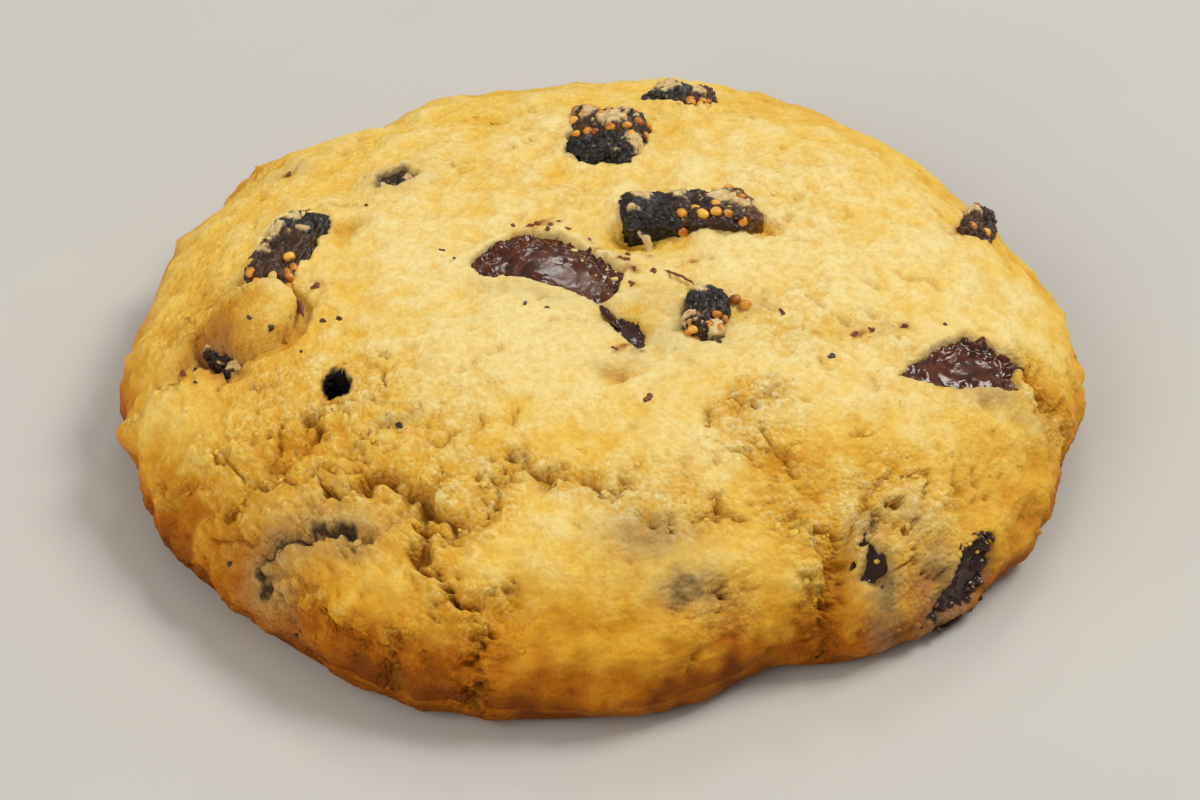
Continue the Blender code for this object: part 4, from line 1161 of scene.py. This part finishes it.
# Splinters: fairly dull, near-black for the skin and red-brown for the chocolate and the flesh.
shredded, tree, shader = new_material("chocolate_and_fig_splinter")
place = add_node(tree, "ShaderNodeTexCoord").outputs["Object"]
tone = add_node(tree, "ShaderNodeAttribute", attribute_name="tone").outputs["Fac"]
patchy = add_node(tree, "ShaderNodeTexNoise", {"Vector": place}, Scale=1500.0, Detail=3.0)
base = ramp(tree, tone, ((0.0, "#3a291f"), (0.5, "#643a1a"), (1.0, "#964a1a")))
base = blend(tree, "MULTIPLY", patchy.outputs["Fac"], base, "#b09080")
tree.links.new(base, shader.inputs["Base Color"])
shader.inputs["Roughness"].default_value = 0.4
shreds.data.materials.append(shredded)
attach(shreds, "root")


# Strands: a curl of pale dough that hangs off the long fig piece, a thread of fig skin in the middle, a dark peel
# that leans on the knob, a string of melted chocolate drawn out from the big chunk to the chip, and a flake of dough
# that stands up behind the knob.
def strand(name, path, radii, finish):
    """A tapered strand through several points, from a sphere drawn out along them."""
    bpy.ops.object.select_all(action="DESELECT")
    bpy.ops.mesh.primitive_uv_sphere_add(segments=12, ring_count=40, radius=1)
    obj = bpy.context.object
    obj.name = obj.data.name = name
    ball = get_points(obj)
    corners = np.array(path, float) + CENTRED

    def on_path(share):
        return np.stack([np.interp(share, range(len(corners)), corners[:, axis]) for axis in range(3)], axis=1)

    along = (1 + ball[:, 2]) / 2 * (len(corners) - 1)
    line = on_path(along)
    ahead = on_path(along + 0.3) - on_path(along - 0.3)
    ahead /= np.linalg.norm(ahead, axis=1)[:, None]
    across = np.cross(ahead, [0.0, 0.0, 1.0])
    across /= np.linalg.norm(across, axis=1)[:, None]
    upward = np.cross(across, ahead)
    points = line + radii[0] * ball[:, :1] * across + radii[1] * ball[:, 1:2] * upward
    points += 0.12 * np.stack([fractal(points + shift, 0.8, 2) for shift in (0, 9, 18)], axis=1)
    set_points(obj, points * MM)
    bpy.ops.object.mode_set(mode="EDIT")
    bpy.ops.mesh.select_all(action="SELECT")
    bpy.ops.mesh.normals_make_consistent(inside=False)
    bpy.ops.object.mode_set(mode="OBJECT")
    obj.data.shade_smooth()
    obj.data.materials.clear()
    obj.data.materials.append(finish)
    paint(obj, "tone", np.full(len(points), 0.75))
    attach(obj, "root")
    return obj


# The curl stayed pale: smoother and a little shinier than the crust, in blotches of about 1 mm.
curl_dough, tree, shader = new_material("pale_dough_curl")
place = add_node(tree, "ShaderNodeTexCoord").outputs["Object"]
patchy = add_node(tree, "ShaderNodeTexNoise", {"Vector": place}, Scale=900.0, Detail=3.0)
base = ramp(tree, patchy.outputs["Fac"], ((0.35, "#b8945a"), (0.65, "#dcc48c")))
tree.links.new(base, shader.inputs["Base Color"])
shader.inputs["Roughness"].default_value = 0.5
shader.inputs["Subsurface Weight"].default_value = 0.15
shader.inputs["Subsurface Scale"].default_value = 0.0006

curl = ((2.4, 6.4, 16.9), (3.2, 6.0, 17.0), (4.0, 5.0, 16.7), (4.3, 4.0, 16.2), (4.2, 3.2, 16.0))
strand("dough_curl", curl, (0.42, 0.35), curl_dough)
thread = ((5.0, -0.7, 16.8), (6.0, -0.8, 17.05), (7.0, -1.4, 17.1), (8.0, -2.5, 17.2), (8.4, -3.6, 17.4))
strand("fig_thread", thread, (0.13, 0.13), shredded)
peel = ((-29.6, -2.4, 15.4), (-28.8, -3.4, 15.9), (-28.0, -4.8, 16.1), (-27.5, -6.4, 15.9))
strand("dark_peel", peel, (0.30, 0.55), shredded)
string = ((-0.5, -5.0, 16.3), (0.1, -6.4, 16.75), (0.8, -7.8, 16.8), (1.5, -9.0, 16.6))
chocolate_string = strand("chocolate_string", string, (0.42, 0.30), glossy)
# The string is painted darker all over as shade, as the chunks in the hollows are.
paint(chocolate_string, "film", np.zeros(len(chocolate_string.data.vertices)))
paint(chocolate_string, "fold_shade", np.full(len(chocolate_string.data.vertices), 0.7))
flake = ((-31.6, -1.4, 15.6), (-30.8, -1.0, 16.2), (-30.4, -0.6, 16.9))
strand("dough_flake", flake, (0.55, 0.25), baked)


# Loose crumbs: bits of the crust that broke off along the cracks and stuck to it again, coloured as the crust is
# where they lie.
CRUMB_COUNT = 420
draw = random.Random(11)
template, faces = small_ball(2)
crumb_places = []
crumb_spots = []
while len(crumb_places) < CRUMB_COUNT:
    spot = draw.randrange(len(final))
    if final[spot][2] < 2.0 or opened[spot] < 0.3 or hole[spot] < 1.5 or draw.random() > broken[spot] ** 1.5:
        continue
    size = 0.13 + 0.2 * draw.random() ** 2
    flake = Matrix.Diagonal((size * draw.uniform(0.8, 1.6), size * draw.uniform(0.7, 1.2), size * 0.7, 1))
    turn = Euler([draw.uniform(-0.5, 0.5), draw.uniform(-0.5, 0.5), draw.uniform(0, 6.28)]).to_matrix().to_4x4()
    lie = standing_on(final_out[spot])
    at = final[spot] - final_out[spot] * size * draw.uniform(0.0, 0.3)
    at = Vector(np.clip(at, limit[0] + 0.5, limit[1] - 0.5))
    crumb_places.append(Matrix.Translation(at) @ lie @ turn @ flake)
    crumb_spots.append(spot)
# Some stuck to the chocolate while it was soft.
for name, count in (("chocolate_rim", 30), ("chocolate_slit", 6), ("chocolate_chip", 8), ("chocolate_centre", 7)):
    face, face_out = melted[name]
    for _ in range(count):
        spot = draw.randrange(len(face))
        size = 0.10 + 0.24 * draw.random() ** 2
        flake = Matrix.Diagonal((size * draw.uniform(0.9, 1.5), size * draw.uniform(0.8, 1.1), size * 0.8, 1))
        at = Vector(np.clip(face[spot], limit[0] + 0.6, limit[1] - 0.6))
        crumb_places.append(Matrix.Translation(at) @ standing_on(face_out[spot]) @ flake)
        crumb_spots.append(np.argmin(np.linalg.norm(final - face[spot], axis=1) + 99 * (opened < 0.6)))
crumb_bits = joined("dough_crumbs", template, faces, crumb_places)
bits = get_points(crumb_bits) / MM
bits += get_normals(crumb_bits) * (0.14 * fractal(bits, 0.4, 2))[:, None]
set_points(crumb_bits, bits * MM)
# The crumbs take the crust's browning, painted shade included, and its stains and rust.
for name in ("brown_and_shade", "stain", "rust"):
    values = np.empty(len(final), dtype=np.float32)
    dough.data.attributes[name].data.foreach_get("value", values)
    paint(crumb_bits, name, np.repeat(values[crumb_spots], len(template)))
paint(crumb_bits, "high", np.full(len(bits), 0.5))
crumb_bits.data.materials.append(baked)
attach(crumb_bits, "root")


# Table: a plain pale matt top, painted, so it has only a very faint mottle.
bpy.ops.object.select_all(action="DESELECT")
bpy.ops.mesh.primitive_plane_add(size=4)
table = bpy.context.object
table.name = table.data.name = "table_top"
matt, tree, shader = new_material("pale_matt_table")
place = add_node(tree, "ShaderNodeTexCoord").outputs["Object"]
faint = add_node(tree, "ShaderNodeTexNoise", {"Vector": place}, Scale=30.0, Detail=3.0)
tree.links.new(ramp(tree, faint.outputs["Fac"], ((0.3, "#c5c4c2"), (0.7, "#c8c7c4"))), shader.inputs["Base Color"])
shader.inputs["Roughness"].default_value = 0.6
table.data.materials.append(matt)


# Light: a window above and to the right of the cookie, a low one behind it that glints in the chocolate, a weak one
# in front, and a soft room.
def window(name, place, size, watts, colour):
    light = bpy.data.lights.new(name, "AREA")
    light.shape = "RECTANGLE"
    light.size, light.size_y = size
    light.energy = watts
    light.color = linear(colour)[:3]
    obj = bpy.data.objects.new(name, light)
    obj.location = place
    obj.rotation_euler = (Vector((0, 0, 0.01)) - Vector(place)).to_track_quat("-Z", "Y").to_euler()
    bpy.context.scene.collection.objects.link(obj)


window("right_window", (0.84, 0.34, 1.08), (0.65, 0.5), 11.8, "#fffbf3")
window("back_window", (0.12, 1.05, 0.97), (0.32, 0.22), 1.8, "#fffdf8")
window("front_fill", (-0.85, -0.7, 0.7), (1.2, 0.9), 8.6, "#fff6e8")
room = bpy.data.worlds.new("soft_room")
room.use_nodes = True
room.node_tree.nodes["Background"].inputs["Color"].default_value = linear("#fbf6ee")
room.node_tree.nodes["Background"].inputs["Strength"].default_value = 0.38
bpy.context.scene.world = room
bpy.context.scene.view_settings.view_transform = "Standard"
bpy.context.scene.view_settings.look = "None"

# Camera: 38 degrees above the table with a long lens, as the photograph was taken.
VIEW_HEIGHT = math.radians(38)
VIEW_DISTANCE = 470.0
VIEW_TARGET = Vector((-0.3, -7.3, 7.0)) + Vector(CENTRED)
FOCAL_PIXELS = 5065  # the lens's focal length on the photograph, which is PHOTO_WIDTH pixels wide
PHOTO_WIDTH = 1200
SENSOR_WIDTH = 36.0
lens = bpy.data.cameras.new("camera")
lens.sensor_width = SENSOR_WIDTH
lens.lens = SENSOR_WIDTH * FOCAL_PIXELS / PHOTO_WIDTH
lens.clip_start = 0.01
camera = bpy.data.objects.new("camera", lens)
back = Vector((0, -math.cos(VIEW_HEIGHT), math.sin(VIEW_HEIGHT)))
camera.location = (VIEW_TARGET + back * VIEW_DISTANCE) * MM
camera.rotation_euler = (math.pi / 2 - VIEW_HEIGHT, 0, 0)
bpy.context.scene.collection.objects.link(camera)
bpy.context.scene.camera = camera
